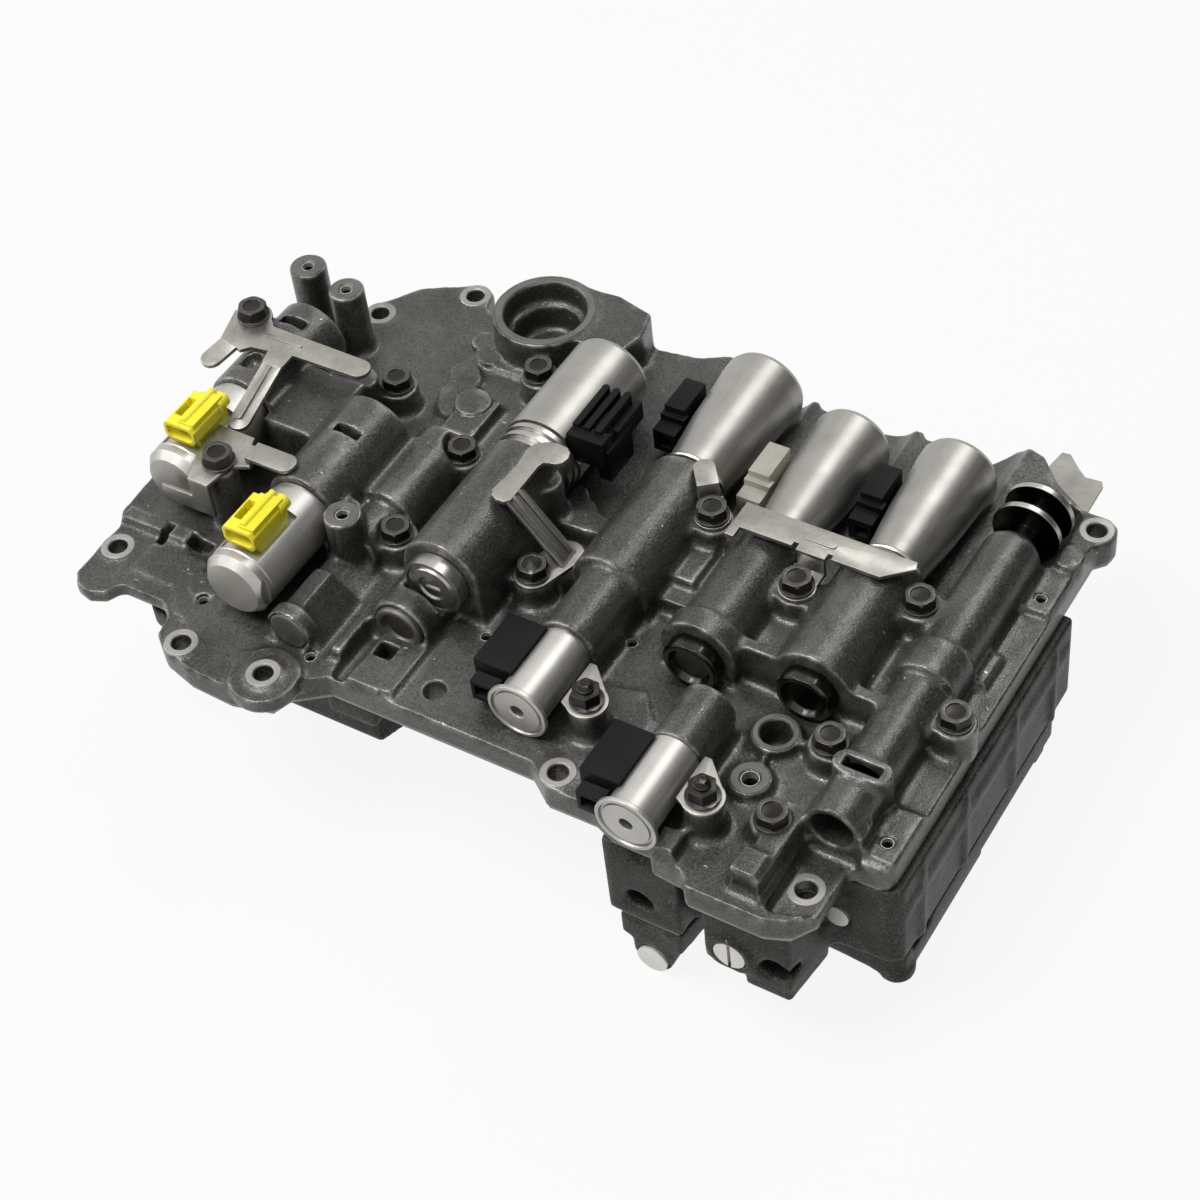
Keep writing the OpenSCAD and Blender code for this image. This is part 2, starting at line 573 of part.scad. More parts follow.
// can that widens to its closed end
module cone_can(ax, y0, r0, r1) {
    turned(ax, y0, [[0, 0], [r0, 0], [r0 + 0.3, 5], [r0 + (r1 - r0) * 0.62, 24], [r1 - 0.5, 42], [r1, 47],
        [r1, 53.2], [r1 - 0.8, 55], [r1 - 2.4, 55.6], [0, 55.6]]);
}

// collar ring at the can's mouth and the nose that drives the spool
module cone_sleeve(ax, y_face, y_can, r, y_nose) {
    len_face = y_face - y_nose + clear;
    len_can = y_can - y_nose;
    turned(ax, y_nose, [[0, 0], [4, 0], [4, 1], [spool_d / 2 - clear, 1], [spool_d / 2 - clear, len_face],
        [r, len_face], [r, len_face + 1], [r - 1.2, len_face + 1.2], [r - 1.2, len_can - 1.4],
        [r + 0.4, len_can - 1.2], [r + 0.4, len_can], [0, len_can]]);
}

// box connector on the left of a conical can: low front, cross ridge, long tower and a latch at its side;
// r clears the can and the width ends at the next can's side
module cone_connector(ax, y0, r, side) {
    x1 = ax[0] - r + 1.4;
    w = min(10.6, x1 - side - clear);
    difference() {
        union() {
            block(x1 - w, x1, y0, y0 + 9, 3, 12.6);
            block(x1 - w, x1 + 1.2, y0 + 6, y0 + 9.4, 3, 15.4);
            block(x1 - w * 0.92, x1 - w * 0.14, y0 + 8, y0 + 24, 4, 18.4);
            block(x1 - w, x1 - w * 0.85, y0 + 13, y0 + 21, 9, 16.6);
            block(x1 - w * 0.3, x1 + 2, y0 + 10.6, y0 + 13.4, 4, 12);
        }
        rod(ax, r + 0.3, y0 - 1, y0 + 40);
        block(x1 - w * 0.75, x1 - w * 0.3, y0 - 1, y0 + 4, 5.4, 10);
    }
}

module solenoid_b_can() color(steel) at_deck() cone_can(ax_b, 57.5, 12, can_b_r);
module solenoid_b_connector() color(black_plastic) at_deck()
    cone_connector(ax_b, 71.3, can_b_r - 0.6, ax_a[0] + can_a_r);
module solenoid_b_sleeve() color(steel) at_deck() cone_sleeve(ax_b, b_y[1], 57.5, 12.2, nose_b);
module solenoid_c_can() color(steel) at_deck() cone_can(ax_c, 46.5, 10.8, can_cd_r);
module solenoid_c_connector() color(grey_plastic) at_deck()
    cone_connector(ax_c, 55, can_cd_r - 1, ax_b[0] + can_b_r);
module solenoid_c_sleeve() color(steel) at_deck() cone_sleeve(ax_c, c_y[1], 46.5, 11, nose_c);
module solenoid_d_can() color(steel) at_deck() cone_can(ax_d, 49.5, 11, can_cd_r);
module solenoid_d_connector() color(black_plastic) at_deck()
    cone_connector(ax_d, 62.6, can_cd_r - 0.8, ax_c[0] + can_cd_r);
module solenoid_d_sleeve() color(steel) at_deck() cone_sleeve(ax_d, d_y[1], 49.5, 11.2, nose_d);

// can with a chamfered front, two flats and the nose in the valve bore
module pressure_can(ax, y_face) {
    difference() {
        turned(ax, y_face - 43, [[0, 0], [can_p_r - 2.6, 0], [can_p_r - 0.2, 3], [can_p_r - 0.2, 6],
            [can_p_r, 6.6], [can_p_r, 40], [12.6, 40], [12.6, 42.7], [pressure_spool_d / 2 - clear, 42.7],
            [pressure_spool_d / 2 - clear, 48.9], [0, 48.9]]);
        for (s = [-1, 1]) translate([ax[0] + s * (can_p_r + 3.4), y_face - 43, ax[1]])
            cube([10, 9, 40], center = true);
        block(ax[0] - 8, ax[0] + 8, y_face - 36, y_face - 12, ax[1] + can_p_r - 3.4, ax[1] + can_p_r + 2);
    }
}

// box connector with an open mouth, a window and two rails, seated on the can's flat
module pressure_connector(ax, y_face) {
    x = ax[0];
    z = ax[1] + can_p_r - 3.4;
    difference() {
        union() {
            block(x - 6.2, x + 6.2, y_face - 31, y_face - 15, z, z + 5);
            translate([x, y_face - 16, z]) rotate([90, 0, 0]) linear_extrude(height = 18)
                polygon([[-5, 2.4], [5, 2.4], [6.8, 4.6], [6.8, 9], [5.2, 10.8], [-5.6, 10.8], [-6.8, 9.4],
                    [-6.8, 4.6]]);
            block(x - 0.6, x + 6.2, y_face - 32.6, y_face - 15, z + 8, z + 11.9);
            rod([x + 1.2, z + 11.4], 1.5, y_face - 32, y_face - 13.6);
            rod([x + 4.6, z + 8.6], 3, y_face - 18, y_face - 12.8);
            block(x - 5, x + 5.6, y_face - 17, y_face - 13.4, z + 1, z + 8.6);
        }
        translate([x, y_face - 22, z]) rotate([90, 0, 0]) linear_extrude(height = 14)
            polygon([[-4, 3.8], [4, 3.8], [5.5, 5.4], [5.5, 8.2], [4.4, 9.4], [-4.6, 9.4], [-5.5, 8.4],
                [-5.5, 5.4]]);
        block(x - 5, x - 1.8, y_face - 29, y_face - 19.6, z + 7, z + 14);
    }
}

module pressure_solenoid_1_can() color(steel) at_deck() pressure_can(ax_p1, p1_y[0]);
module pressure_solenoid_1_connector() color(yellow_plastic) at_deck() pressure_connector(ax_p1, p1_y[0]);
module pressure_solenoid_2_can() color(steel) at_deck() pressure_can(ax_p2, p2_y[0]);
module pressure_solenoid_2_connector() color(yellow_plastic) at_deck() pressure_connector(ax_p2, p2_y[0]);

// slim can with an end flange, its centre hole and the snout in the cast boss
module shift_can(ax, y_face) {
    turned(ax, y_face - 32, [[0, 7], [2.5, 7], [2.5, 0.6], [2.9, 0.3], [can_s_r - 0.5, 0.3],
        [can_s_r - 0.3, 1.2], [can_s_r + 0.5, 1.2], [can_s_r + 0.9, 0], [flange_s_r - 0.3, 0],
        [flange_s_r, 0.3], [flange_s_r, 1.6], [flange_s_r - 0.4, 2], [can_s_r, 2.2], [can_s_r, 32],
        [5.9, 32], [5.9, 40], [0, 40]]);
}

module shift_connector(ax, y_face) {
    x1 = ax[0] - 6;
    difference() {
        union() {
            block(x1 - 15, x1, y_face - 24, y_face - 1, ax[1] - 7, ax[1] + 8.6);
            block(x1 - 14, x1 - 4, y_face - 29, y_face - 22, ax[1] - 6, ax[1] + 3);
        }
        rod(ax, can_s_r + 0.3, y_face - 40, y_face + 1);
        block(x1 - 12.5, x1 - 5.5, y_face - 30, y_face - 25, ax[1] - 4, ax[1] + 1.4);
    }
}

// teardrop strap from the stud's boss to the solenoid's side
module shift_bracket(ax, y_face, s) {
    difference() {
        union() {
            post(s[0], s[1], 7.4, s[2], s[2] + sheet_t);
            plan([[s[0] - 7.8, s[1] + 15], [s[0] - 5, s[1] + 15], [s[0] + 6.2, s[1] + 3.8],
                [s[0] - 2, s[1] - 7], [s[0] - 7.8, s[1] - 4]], s[2], s[2] + sheet_t);
        }
        post(s[0], s[1], bolt_d / 2 + clear, s[2] - 1, s[2] + 4);
    }
}

module shift_solenoid_1_can() color(steel) at_deck() shift_can(ax_s1, boss_s1_y[0]);
module shift_solenoid_1_connector() color(black_plastic) at_deck() shift_connector(ax_s1, boss_s1_y[0]);
module shift_solenoid_1_bracket() color(zinc) at_deck() shift_bracket(ax_s1, boss_s1_y[0], studs[0]);
module shift_solenoid_2_can() color(steel) at_deck() shift_can(ax_s2, boss_s2_y[0]);
module shift_solenoid_2_connector() color(black_plastic) at_deck() shift_connector(ax_s2, boss_s2_y[0]);
module shift_solenoid_2_bracket() color(zinc) at_deck() shift_bracket(ax_s2, boss_s2_y[0], studs[1]);

// lands in the tube and two discs outside it that hold the shift lever's pin
module manual_valve() color(steel) at_deck() {
    r = manual_d / 2;
    n = r * 0.55;
    turned(ax_m, -46, [[0, 0], [r - 1, 0], [r, 1], [r, 5], [n, 5], [n, 14], [r, 14], [r, 24], [n, 24],
        [n, 40], [r, 40], [r, 50], [n, 50], [n, 72], [r, 72], [r, 86], [n, 86], [n, 106], [r, 106],
        [r, 124], [n, 124], [n, 133.5], [disc_r, 133.5], [disc_r, 136], [n, 136], [n, 144], [disc_r, 144],
        [disc_r, 146.6], [0, 146.6]]);
}

module regulator_spool_a() color(steel) at_deck() spool(ax_a, spool_a[0], spool_a[1], spool_d);
module regulator_spool_b() color(steel) at_deck() spool(ax_b, spool_b[0], spool_b[1], spool_d);
module regulator_spool_c() color(steel) at_deck() spool(ax_c, spool_c[0], spool_c[1], spool_d);
module regulator_spool_d() color(steel) at_deck() spool(ax_d, spool_d_y[0], spool_d_y[1], spool_d);
module regulator_spring_a() color(steel) at_deck() coil(ax_a, spring_a[0], spring_a[1], spool_d * 0.34, 5);
module regulator_spring_b() color(steel) at_deck() coil(ax_b, spring_b[0], spring_b[1], spool_d * 0.34, 5);
module regulator_spring_c() color(steel) at_deck() coil(ax_c, spring_c[0], spring_c[1], spool_d * 0.34, 5);
module regulator_spring_d() color(steel) at_deck() coil(ax_d, spring_d[0], spring_d[1], spool_d * 0.34, 5);

module pressure_spool_1() color(steel) at_deck() spool(ax_p1, spool_p1, spool_p_l, pressure_spool_d);
module pressure_spool_2() color(steel) at_deck() spool(ax_p2, spool_p2, spool_p_l, pressure_spool_d);
module pressure_spring_1() color(steel) at_deck()
    coil(ax_p1, spool_p1 + spool_p_l, spring_p_l, pressure_spool_d * 0.34, 5);
module pressure_spring_2() color(steel) at_deck()
    coil(ax_p2, spool_p2 + spool_p_l, spring_p_l, pressure_spool_d * 0.34, 5);

module shift_valve() color(steel) at_deck()
    spool(ax_v, shift_y[0] + shift_plug_l + 0.1, shift_spool_l, shift_spool_d);
module shift_spring() color(steel) at_deck()
    coil(ax_v, shift_y[0] + shift_plug_l + shift_spool_l + 0.1, shift_spring_l, shift_spool_d * 0.34, 5);

module slotted_plug() color(steel) at_deck() difference() {
    rod(ax_v, shift_spool_d / 2 + 0.9, shift_y[0] - 0.6, shift_y[0] + shift_plug_l);
    block(ax_v[0] - 0.6, ax_v[0] + 0.6, shift_y[0] - 2, shift_y[0] + 1.6, ax_v[1] - 8, ax_v[1] + 8);
}

// flanged plug with a slotted centre in the mouth of housing a
module valve_plug_a() color(steel) at_deck() difference() {
    turned(ax_a, a_y[0] - 6, [[0, 0.8], [4.6, 0.8], [5.4, 0], [8.4, 0], [8.8, 0.9], [9.8, 0.9], [10.4, 0.2],
        [11.5, 0.2], [11.5, 5.7], [spool_d / 2 - clear, 5.7], [spool_d / 2 - clear, 13.2], [0, 13.2]]);
    block(ax_a[0] - 3, ax_a[0] + 3, a_y[0] - 7, a_y[0] - 4.6, ax_a[1] - 0.8, ax_a[1] + 0.8);
}

// dished plugs in the mouths of housings c and d
module valve_plugs() color(dark_steel) at_deck() for (p = [[ax_c, c_y[0]], [ax_d, d_y[0]]]) difference() {
    union() {
        turned(p[0], p[1] - 6, [[0, 2.2], [6.6, 2.2], [8, 0], [9.6, 0], [10.4, 0.8], [10.4, 5.7],
            [spool_d / 2 - clear, 5.7], [spool_d / 2 - clear, 13.2], [0, 13.2]]);
    }
    translate([p[0][0], p[1] - 3, p[0][1] + 14.6]) cube([16, 7, 10], center = true);
}

// dished plug in housing f and flat plug in housing e
module cup_plug() color(steel) at_deck()
    turned(ax_f, -47.4, [[0, 2.6], [6, 2.6], [7.4, 0], [8.8, 0], [9.4, 0.7], [9.4, 9.4], [0, 9.4]]);
module disc_plug() color(steel) at_deck()
    turned(ax_e, -66, [[0, 0], [6.9, 0], [7.7, 0.6], [7.7, 5], [0, 5]]);

module face_plug() color(steel) at_deck() rod([foot_x, foot_z], face_plug_r, -82.6, -74);
module side_plug() color(steel) at_deck() rod(side_plug_at, side_plug_r, -61.4, -53);

// hooked spring clip on housing a with a ribbed arm down to its foot
module hook_clip() color(zinc) at_deck() {
    z = ax_a[1] + house_a_r + 0.4;
    drop = z - hook_seat[2];
    plan([[-40.9, 1.8], [-39.6, -0.6], [-37, -2], [-34, -1.8], [-32.4, 0], [-32.4, 18.4], [-31.6, 20.6],
        [-29.6, 21.4], [-27.6, 21.6], [-25.6, 23.4], [-25, 26], [-25.8, 28.8], [-28, 30.6], [-32, 31],
        [-36.4, 29.8], [-39.4, 27.2], [-40.6, 23.4], [-39.6, 16], [-40, 8]], z, z + sheet_t);
    difference() {
        union() {
            translate([-34.5, -1, z]) rotate([0, 50, 0]) cube([drop / sin(50) + 4, 9, sheet_t]);
            for (y = [1.2, 4.6]) translate([-33.4, y, z + sheet_t - 0.6]) rotate([0, 50, 0])
                cube([drop / sin(50) - 3, 1.4, 1.5]);
        }
        block(-60, 10, -20, 30, -20, hook_seat[2] + sheet_t / 2);
    }
    difference() {
        union() {
            post(hook_seat[0], hook_seat[1], 7, hook_seat[2], hook_seat[2] + sheet_t);
            post(-16, 6, 6, hook_seat[2], hook_seat[2] + sheet_t);
            plan([[-27.9, -4.8], [-21.5, -7.5], [-15, -10], [-10.4, 3.8], [-16, 6], [-21.6, 8.2]],
                hook_seat[2], hook_seat[2] + sheet_t);
        }
        post(hook_seat[0], hook_seat[1], bolt_d / 2 + clear, hook_seat[2] - 1, hook_seat[2] + 4);
    }
}

// long clip across housings c and d with its web and foot under a bolt
module long_clip() color(zinc) at_deck() {
    z = ax_d[1] + house_bd_r + 0.5;
    b = bolts[4];
    c = ax_c[0];
    d = ax_d[0];
    plan([[c - 10.9, 26], [c - 7.5, 26], [c - 7.5, 31], [gap_x - 6.8, 31], [gap_x - 6.8, 33],
        [gap_x - 4.8, 33], [gap_x - 4.8, 30], [gap_x + 6.2, 30], [gap_x + 6.2, 33], [gap_x + 8.2, 33],
        [gap_x + 8.2, 31], [d + 5, 31], [d + 14.5, 39.5], [d + 13.5, 42.5], [c - 10.9, 42.5]],
        z, z + sheet_t);
    block(gap_x - 3, gap_x + 6, 35.2, 38.2, z + sheet_t - 0.4, z + sheet_t + 0.7);
    for (x = [-3, 6]) post(gap_x + x, 36.7, 1.49, z + sheet_t - 0.4, z + sheet_t + 0.7);
    block(gap_x - 4.4, gap_x + foot_w, 30.2, 30.2 + sheet_t, b[2] - b[3], z + 0.4);
    difference() {
        union() {
            block(gap_x - foot_w, gap_x + foot_w, b[1], 31, b[2] - b[3], b[2]);
            post(b[0], b[1], 6.6, b[2] - b[3], b[2]);
        }
        post(b[0], b[1], bolt_d / 2 + clear, b[2] - 4, b[2] + 2);
    }
}

// short clip with a rounded finger on housing b
module finger_clip() color(zinc) at_deck() {
    b = bolts[9];
    z = b[2] - b[3];
    translate([b[0], b[1], 0]) rotate([0, 0, 38]) {
        difference() {
            union() {
                post(0, 0, 6.4, z, z + sheet_t);
                block(-5, 5, 0, 9, z, z + sheet_t);
            }
            post(0, 0, bolt_d / 2 + clear, z - 1, z + 4);
        }
        block(-3.9, 3.9, 7.6, 9.2, z, z + 9);
        block(-3.9, 3.9, 7.6, 16.6, z + 8, z + 8 + sheet_t);
        post(0, 16.6, 3.9, z + 8, z + 8 + sheet_t);
    }
}

// strip that leaves a bracket's edge at [x, y], turned by a and sloping down by b
module leg(x, y, z, a, b, w, length, t) {
    translate([x, y, z]) rotate([0, 0, a]) rotate([b, 0, 0]) {
        translate([0, -length, 0]) cube([w, length, t]);
        translate([w / 2, -length, 0]) cylinder(r = w / 2 - 0.01, h = t);
    }
}

// tee-shaped spring bracket over pressure solenoid 1
module tee_bracket() color(zinc) at_deck() {
    z = tee_seat[2];
    difference() {
        union() {
            post(tee_seat[0], tee_seat[1], 7, z, z + sheet_t);
            plan([[-182.4, 42], [-178, 26.6], [-167.6, 24.6], [-164.6, 27.8], [-157.6, 28.8],
                [-156, 23], [-147.5, 23], [-147.6, 30.6], [-121.3, 31], [-121.3, 40], [-163.6, 40.6],
                [-170.6, 47.6]], z, z + sheet_t);
            post(-121.3, 35.5, 4.5, z, z + sheet_t);
            block(-162.4, -146.8, 34.6, 36, z + sheet_t - 0.4, z + sheet_t + 0.7);
        }
        post(tee_seat[0], tee_seat[1], bolt_d / 2 + clear, z - 1, z + 4);
    }
    leg(-155.8, 23.6, z, 8, 8, 8, 28, sheet_t);
    leg(-152.6, 22, z + 0.8, 8, 8, 1.6, 25, 1.7);
    leg(-177.8, 27.6, z, -14, 8, 8.4, 9, sheet_t);
}

// bracket with a raised finger, a leg and a stop flange before pressure solenoid 1
module solenoid_bracket() color(zinc) at_deck() {
    z = bracket_seat[2];
    finger_z = ax_p2[1] + house_p_r;
    difference() {
        plan([[-153.2, -18], [-151.3, -25.5], [-147, -36.4], [-138.4, -36.4], [-136.7, -24.5],
            [-130.2, -21.6], [-130.2, -12.6], [-136.2, -12], [-137.2, -8.8], [-153.2, -8.6]],
            z, z + sheet_t);
        post(bracket_seat[0], bracket_seat[1], bolt_d / 2 + clear, z - 1, z + 4);
    }
    block(-131.8, -130.2, -21.4, -12.8, z, finger_z + sheet_t);
    block(-131.8, -117, -21.4, -12.8, finger_z, finger_z + sheet_t);
    post(-117, -17.1, 4.3, finger_z, finger_z + sheet_t);
    block(-147, -138.4, -36.4, -36.4 + sheet_t, 13, z + 0.8);
    block(-161, -138.4, -36.4, -36.4 + sheet_t, 12.6, 19.6);
}

module deck_bolts() color(dark_steel) at_deck() for (b = bolts)
    translate([b[0], b[1], b[2]]) flange_bolt(bolt_l);

module bracket_bolts() color(dark_steel) at_deck() for (s = [tee_seat, bracket_seat])
    translate([s[0], s[1], s[2] + sheet_t]) flange_bolt(16);

module hook_bolt() color(dark_steel) at_deck()
    translate([hook_seat[0], hook_seat[1], hook_seat[2] + sheet_t]) flange_bolt(12);

// studs with flanged nuts that hold the shift solenoids' straps
module bracket_studs() color(dark_steel) at_deck() for (s = studs)
    translate([s[0], s[1], s[2] + sheet_t]) {
        cylinder(r = bolt_af * 0.6, h = 1.3);
        intersection() {
            translate([0, 0, 1]) hex(bolt_af - 1, 5);
            cylinder(r1 = bolt_af * 0.95, r2 = bolt_af * 0.42, h = 7);
        }
        translate([0, 0, -12]) cylinder(r = bolt_d / 2, h = 19.4);
        translate([0, 0, 7.3]) cylinder(r1 = bolt_d / 2, r2 = bolt_d / 2 - 1.4, h = 1.6);
    }

/* [View] */
// sub-part to draw

upper_body();
upper_separator_plate();
middle_body();
lower_separator_plate();
lower_body();
solenoid_a_can();
solenoid_a_connector();
solenoid_a_sleeve();
solenoid_b_can();
solenoid_b_connector();
solenoid_b_sleeve();
solenoid_c_can();
solenoid_c_connector();
solenoid_c_sleeve();
solenoid_d_can();
solenoid_d_connector();
solenoid_d_sleeve();
pressure_solenoid_1_can();
pressure_solenoid_1_connector();
pressure_solenoid_2_can();
pressure_solenoid_2_connector();
shift_solenoid_1_can();
shift_solenoid_1_connector();
shift_solenoid_1_bracket();
shift_solenoid_2_can();
shift_solenoid_2_connector();
shift_solenoid_2_bracket();
manual_valve();
regulator_spool_a();
regulator_spool_b();
regulator_spool_c();
regulator_spool_d();
regulator_spring_a();
regulator_spring_b();
regulator_spring_c();
regulator_spring_d();
pressure_spool_1();
pressure_spool_2();
pressure_spring_1();
pressure_spring_2();
shift_valve();
shift_spring();
slotted_plug();
valve_plug_a();
valve_plugs();
cup_plug();
disc_plug();
face_plug();
side_plug();
hook_clip();
long_clip();
finger_clip();
tee_bracket();
solenoid_bracket();
deck_bolts();
bracket_bolts();
hook_bolt();
bracket_studs();
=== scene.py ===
import json
import math

import bmesh
import bpy
import numpy as np
import openvdb
from mathutils import Matrix, Vector


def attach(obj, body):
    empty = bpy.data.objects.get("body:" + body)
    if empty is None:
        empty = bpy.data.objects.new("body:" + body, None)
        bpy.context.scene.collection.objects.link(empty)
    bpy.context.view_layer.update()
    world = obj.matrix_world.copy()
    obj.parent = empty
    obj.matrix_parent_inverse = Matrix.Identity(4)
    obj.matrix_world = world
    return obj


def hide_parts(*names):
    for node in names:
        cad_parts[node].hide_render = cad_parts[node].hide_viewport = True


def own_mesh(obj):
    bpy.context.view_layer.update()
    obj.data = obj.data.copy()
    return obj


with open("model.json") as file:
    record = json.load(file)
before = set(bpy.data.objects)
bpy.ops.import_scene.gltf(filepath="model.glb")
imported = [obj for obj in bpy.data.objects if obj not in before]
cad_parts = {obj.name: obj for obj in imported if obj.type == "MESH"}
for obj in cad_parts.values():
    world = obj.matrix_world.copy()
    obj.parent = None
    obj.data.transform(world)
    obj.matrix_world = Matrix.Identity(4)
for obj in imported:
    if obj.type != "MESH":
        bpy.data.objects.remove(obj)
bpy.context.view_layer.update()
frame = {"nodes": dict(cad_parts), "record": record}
nodes = frame["nodes"]
mm = 0.001
mergeGap = 1e-6  # points closer than this are one
datum = Vector((19.8, -26.0, 77.4))  # the deck's own zero in the row frame, in mm
scene = bpy.context.scene
print("frame loaded")


def linear(hexCode):
    parts = [int(hexCode[i:i + 2], 16) / 255 for i in (1, 3, 5)]
    return [c / 12.92 if c <= 0.04045 else ((c + 0.055) / 1.055) ** 2.4 for c in parts] + [1.0]


def addNode(material, kind, settings=None, links=None):
    tree = material.node_tree
    node = tree.nodes.new(kind)
    for name, value in (settings or {}).items():
        if isinstance(value, str) and value.startswith("#"):
            value = linear(value)
        if name == "stops":
            ramp = node.color_ramp
            while len(ramp.elements) < len(value):
                ramp.elements.new(0.5)
            for stop, (place, hexCode) in zip(ramp.elements, value):
                stop.position = place
                stop.color = linear(hexCode)
        elif isinstance(name, int) or name in node.inputs:
            node.inputs[name].default_value = value
        else:
            setattr(node, name, value)
    for name, source in (links or {}).items():
        tree.links.new(source, node.inputs[name])
    return node


def newMaterial(name):
    material = bpy.data.materials.new(name)
    material.use_nodes = True
    material.node_tree.nodes.remove(material.node_tree.nodes["Principled BSDF"])
    return material


def finishMaterial(material, shader):
    out = material.node_tree.nodes["Material Output"]
    material.node_tree.links.new(shader.outputs[0], out.inputs["Surface"])
    return material


def perMm(size):
    return 1000.0 / size  # texture scale for a feature of that size in mm


# die-cast aluminium, dark from die and oil: sandy grain, oil clouds, paler edges that are worn and also a
# painted highlight, painted shade in the corners
castLook = {"dark": "#393937", "body": "#504f4c", "edge": "#a5a39c",
            "corner": "#0d0d0c", "speck": "#8a8882", "fleck": "#c3c1ba",
            "cloud": 22.0, "grain": 1.1, "sand": 0.45,
            "metal": 0.42, "rough": 0.3, "shine": 0.45, "wearAndHighlight": 0.75}
shadedCastLook = {**castLook, "dark": "#292927", "body": "#3b3b38", "wearAndHighlight": 0.15,
                "metal": 0.25, "rough": 0.42, "shine": 0.08}  # the two bodies below, painted darker as shade


def makeCast(name, look):
    m = newMaterial(name)
    place = addNode(m, "ShaderNodeTexCoord").outputs["Object"]
    cloud = addNode(m, "ShaderNodeTexNoise", {"Scale": perMm(look["cloud"]), "Detail": 4.0},
                    {"Vector": place})
    grain = addNode(m, "ShaderNodeTexNoise",
                    {"Scale": perMm(look["grain"]), "Detail": 3.0, "Roughness": 0.7}, {"Vector": place})
    sand = addNode(m, "ShaderNodeTexNoise", {"Scale": perMm(look["sand"]), "Detail": 1.0},
                   {"Vector": place})
    body = addNode(m, "ShaderNodeValToRGB", {"stops": [(0.34, look["dark"]), (0.66, look["body"])]},
                   {"Fac": cloud.outputs["Fac"]})
    salt = addNode(m, "ShaderNodeMapRange", {"From Min": 0.32, "From Max": 0.68},
                   {"Value": grain.outputs["Fac"]})
    mottle = addNode(m, "ShaderNodeMixRGB", {"blend_type": "OVERLAY", "Fac": 0.36},
                     {"Color1": body.outputs["Color"], "Color2": salt.outputs["Result"]})
    # sand grain, with bright specks painted as glints
    glint = addNode(m, "ShaderNodeMapRange", {"From Min": 0.57, "From Max": 0.7, "To Max": 0.5},
                    {"Value": sand.outputs["Fac"]})
    speck = addNode(m, "ShaderNodeMixRGB", {"Color2": look["speck"]},
                    {"Fac": glint.outputs["Result"], "Color1": mottle.outputs["Color"]})
    nicks = addNode(m, "ShaderNodeTexNoise", {"Scale": perMm(2.4), "Detail": 2.0, "Distortion": 0.6},
                    {"Vector": place})
    nick = addNode(m, "ShaderNodeMapRange", {"From Min": 0.735, "From Max": 0.77, "To Max": 0.8},
                   {"Value": nicks.outputs["Fac"]})
    flecked = addNode(m, "ShaderNodeMixRGB", {"Color2": look["fleck"]},
                      {"Fac": nick.outputs["Result"], "Color1": speck.outputs["Color"]})
    swell = addNode(m, "ShaderNodeTexNoise", {"Scale": perMm(6.0), "Detail": 2.0}, {"Vector": place})
    bend = addNode(m, "ShaderNodeNewGeometry").outputs["Pointiness"]
    # paler sharp edges in patches: wear, and also a painted highlight on the edges
    edge = addNode(m, "ShaderNodeMapRange", {"From Min": 0.508, "From Max": 0.56, "To Max": look["wearAndHighlight"]},
                   {"Value": bend})
    patch = addNode(m, "ShaderNodeMapRange", {"From Min": 0.38, "From Max": 0.6},
                    {"Value": swell.outputs["Fac"]})
    wornAndHighlitEdge = addNode(m, "ShaderNodeMath", {"operation": "MULTIPLY"},
                   {0: edge.outputs["Result"], 1: patch.outputs["Result"]})
    # painted shade: concave corners darkened towards the corner colour
    corner = addNode(m, "ShaderNodeMapRange", {"From Min": 0.49, "From Max": 0.43, "To Max": 0.6},
                     {"Value": bend})
    paled = addNode(m, "ShaderNodeMixRGB", {"Color2": look["edge"]},
                    {"Fac": wornAndHighlitEdge.outputs["Value"], "Color1": flecked.outputs["Color"]})
    shaded = addNode(m, "ShaderNodeMixRGB", {"Color2": look["corner"]},
                     {"Fac": corner.outputs["Result"], "Color1": paled.outputs["Color"]})
    rough = addNode(m, "ShaderNodeMapRange",
                    {"To Min": look["rough"] - 0.12, "To Max": look["rough"] + 0.12},
                    {"Value": grain.outputs["Fac"]})
    height = addNode(m, "ShaderNodeMath", {"operation": "MULTIPLY_ADD", 1: 0.5},
                     {0: sand.outputs["Fac"], 2: grain.outputs["Fac"]})
    uneven = addNode(m, "ShaderNodeMath", {"operation": "MULTIPLY_ADD", 1: 2.2},
                     {0: swell.outputs["Fac"], 2: height.outputs["Value"]})
    bump = addNode(m, "ShaderNodeBump", {"Strength": 0.55, "Distance": 0.24 * mm},
                   {"Height": uneven.outputs["Value"]})
    shader = addNode(m, "ShaderNodeBsdfPrincipled",
                     {"Metallic": look["metal"], "Specular IOR Level": look["shine"]},
                     {"Base Color": shaded.outputs["Color"], "Roughness": rough.outputs["Result"],
                      "Normal": bump.outputs["Normal"]})
    return finishMaterial(m, shader)


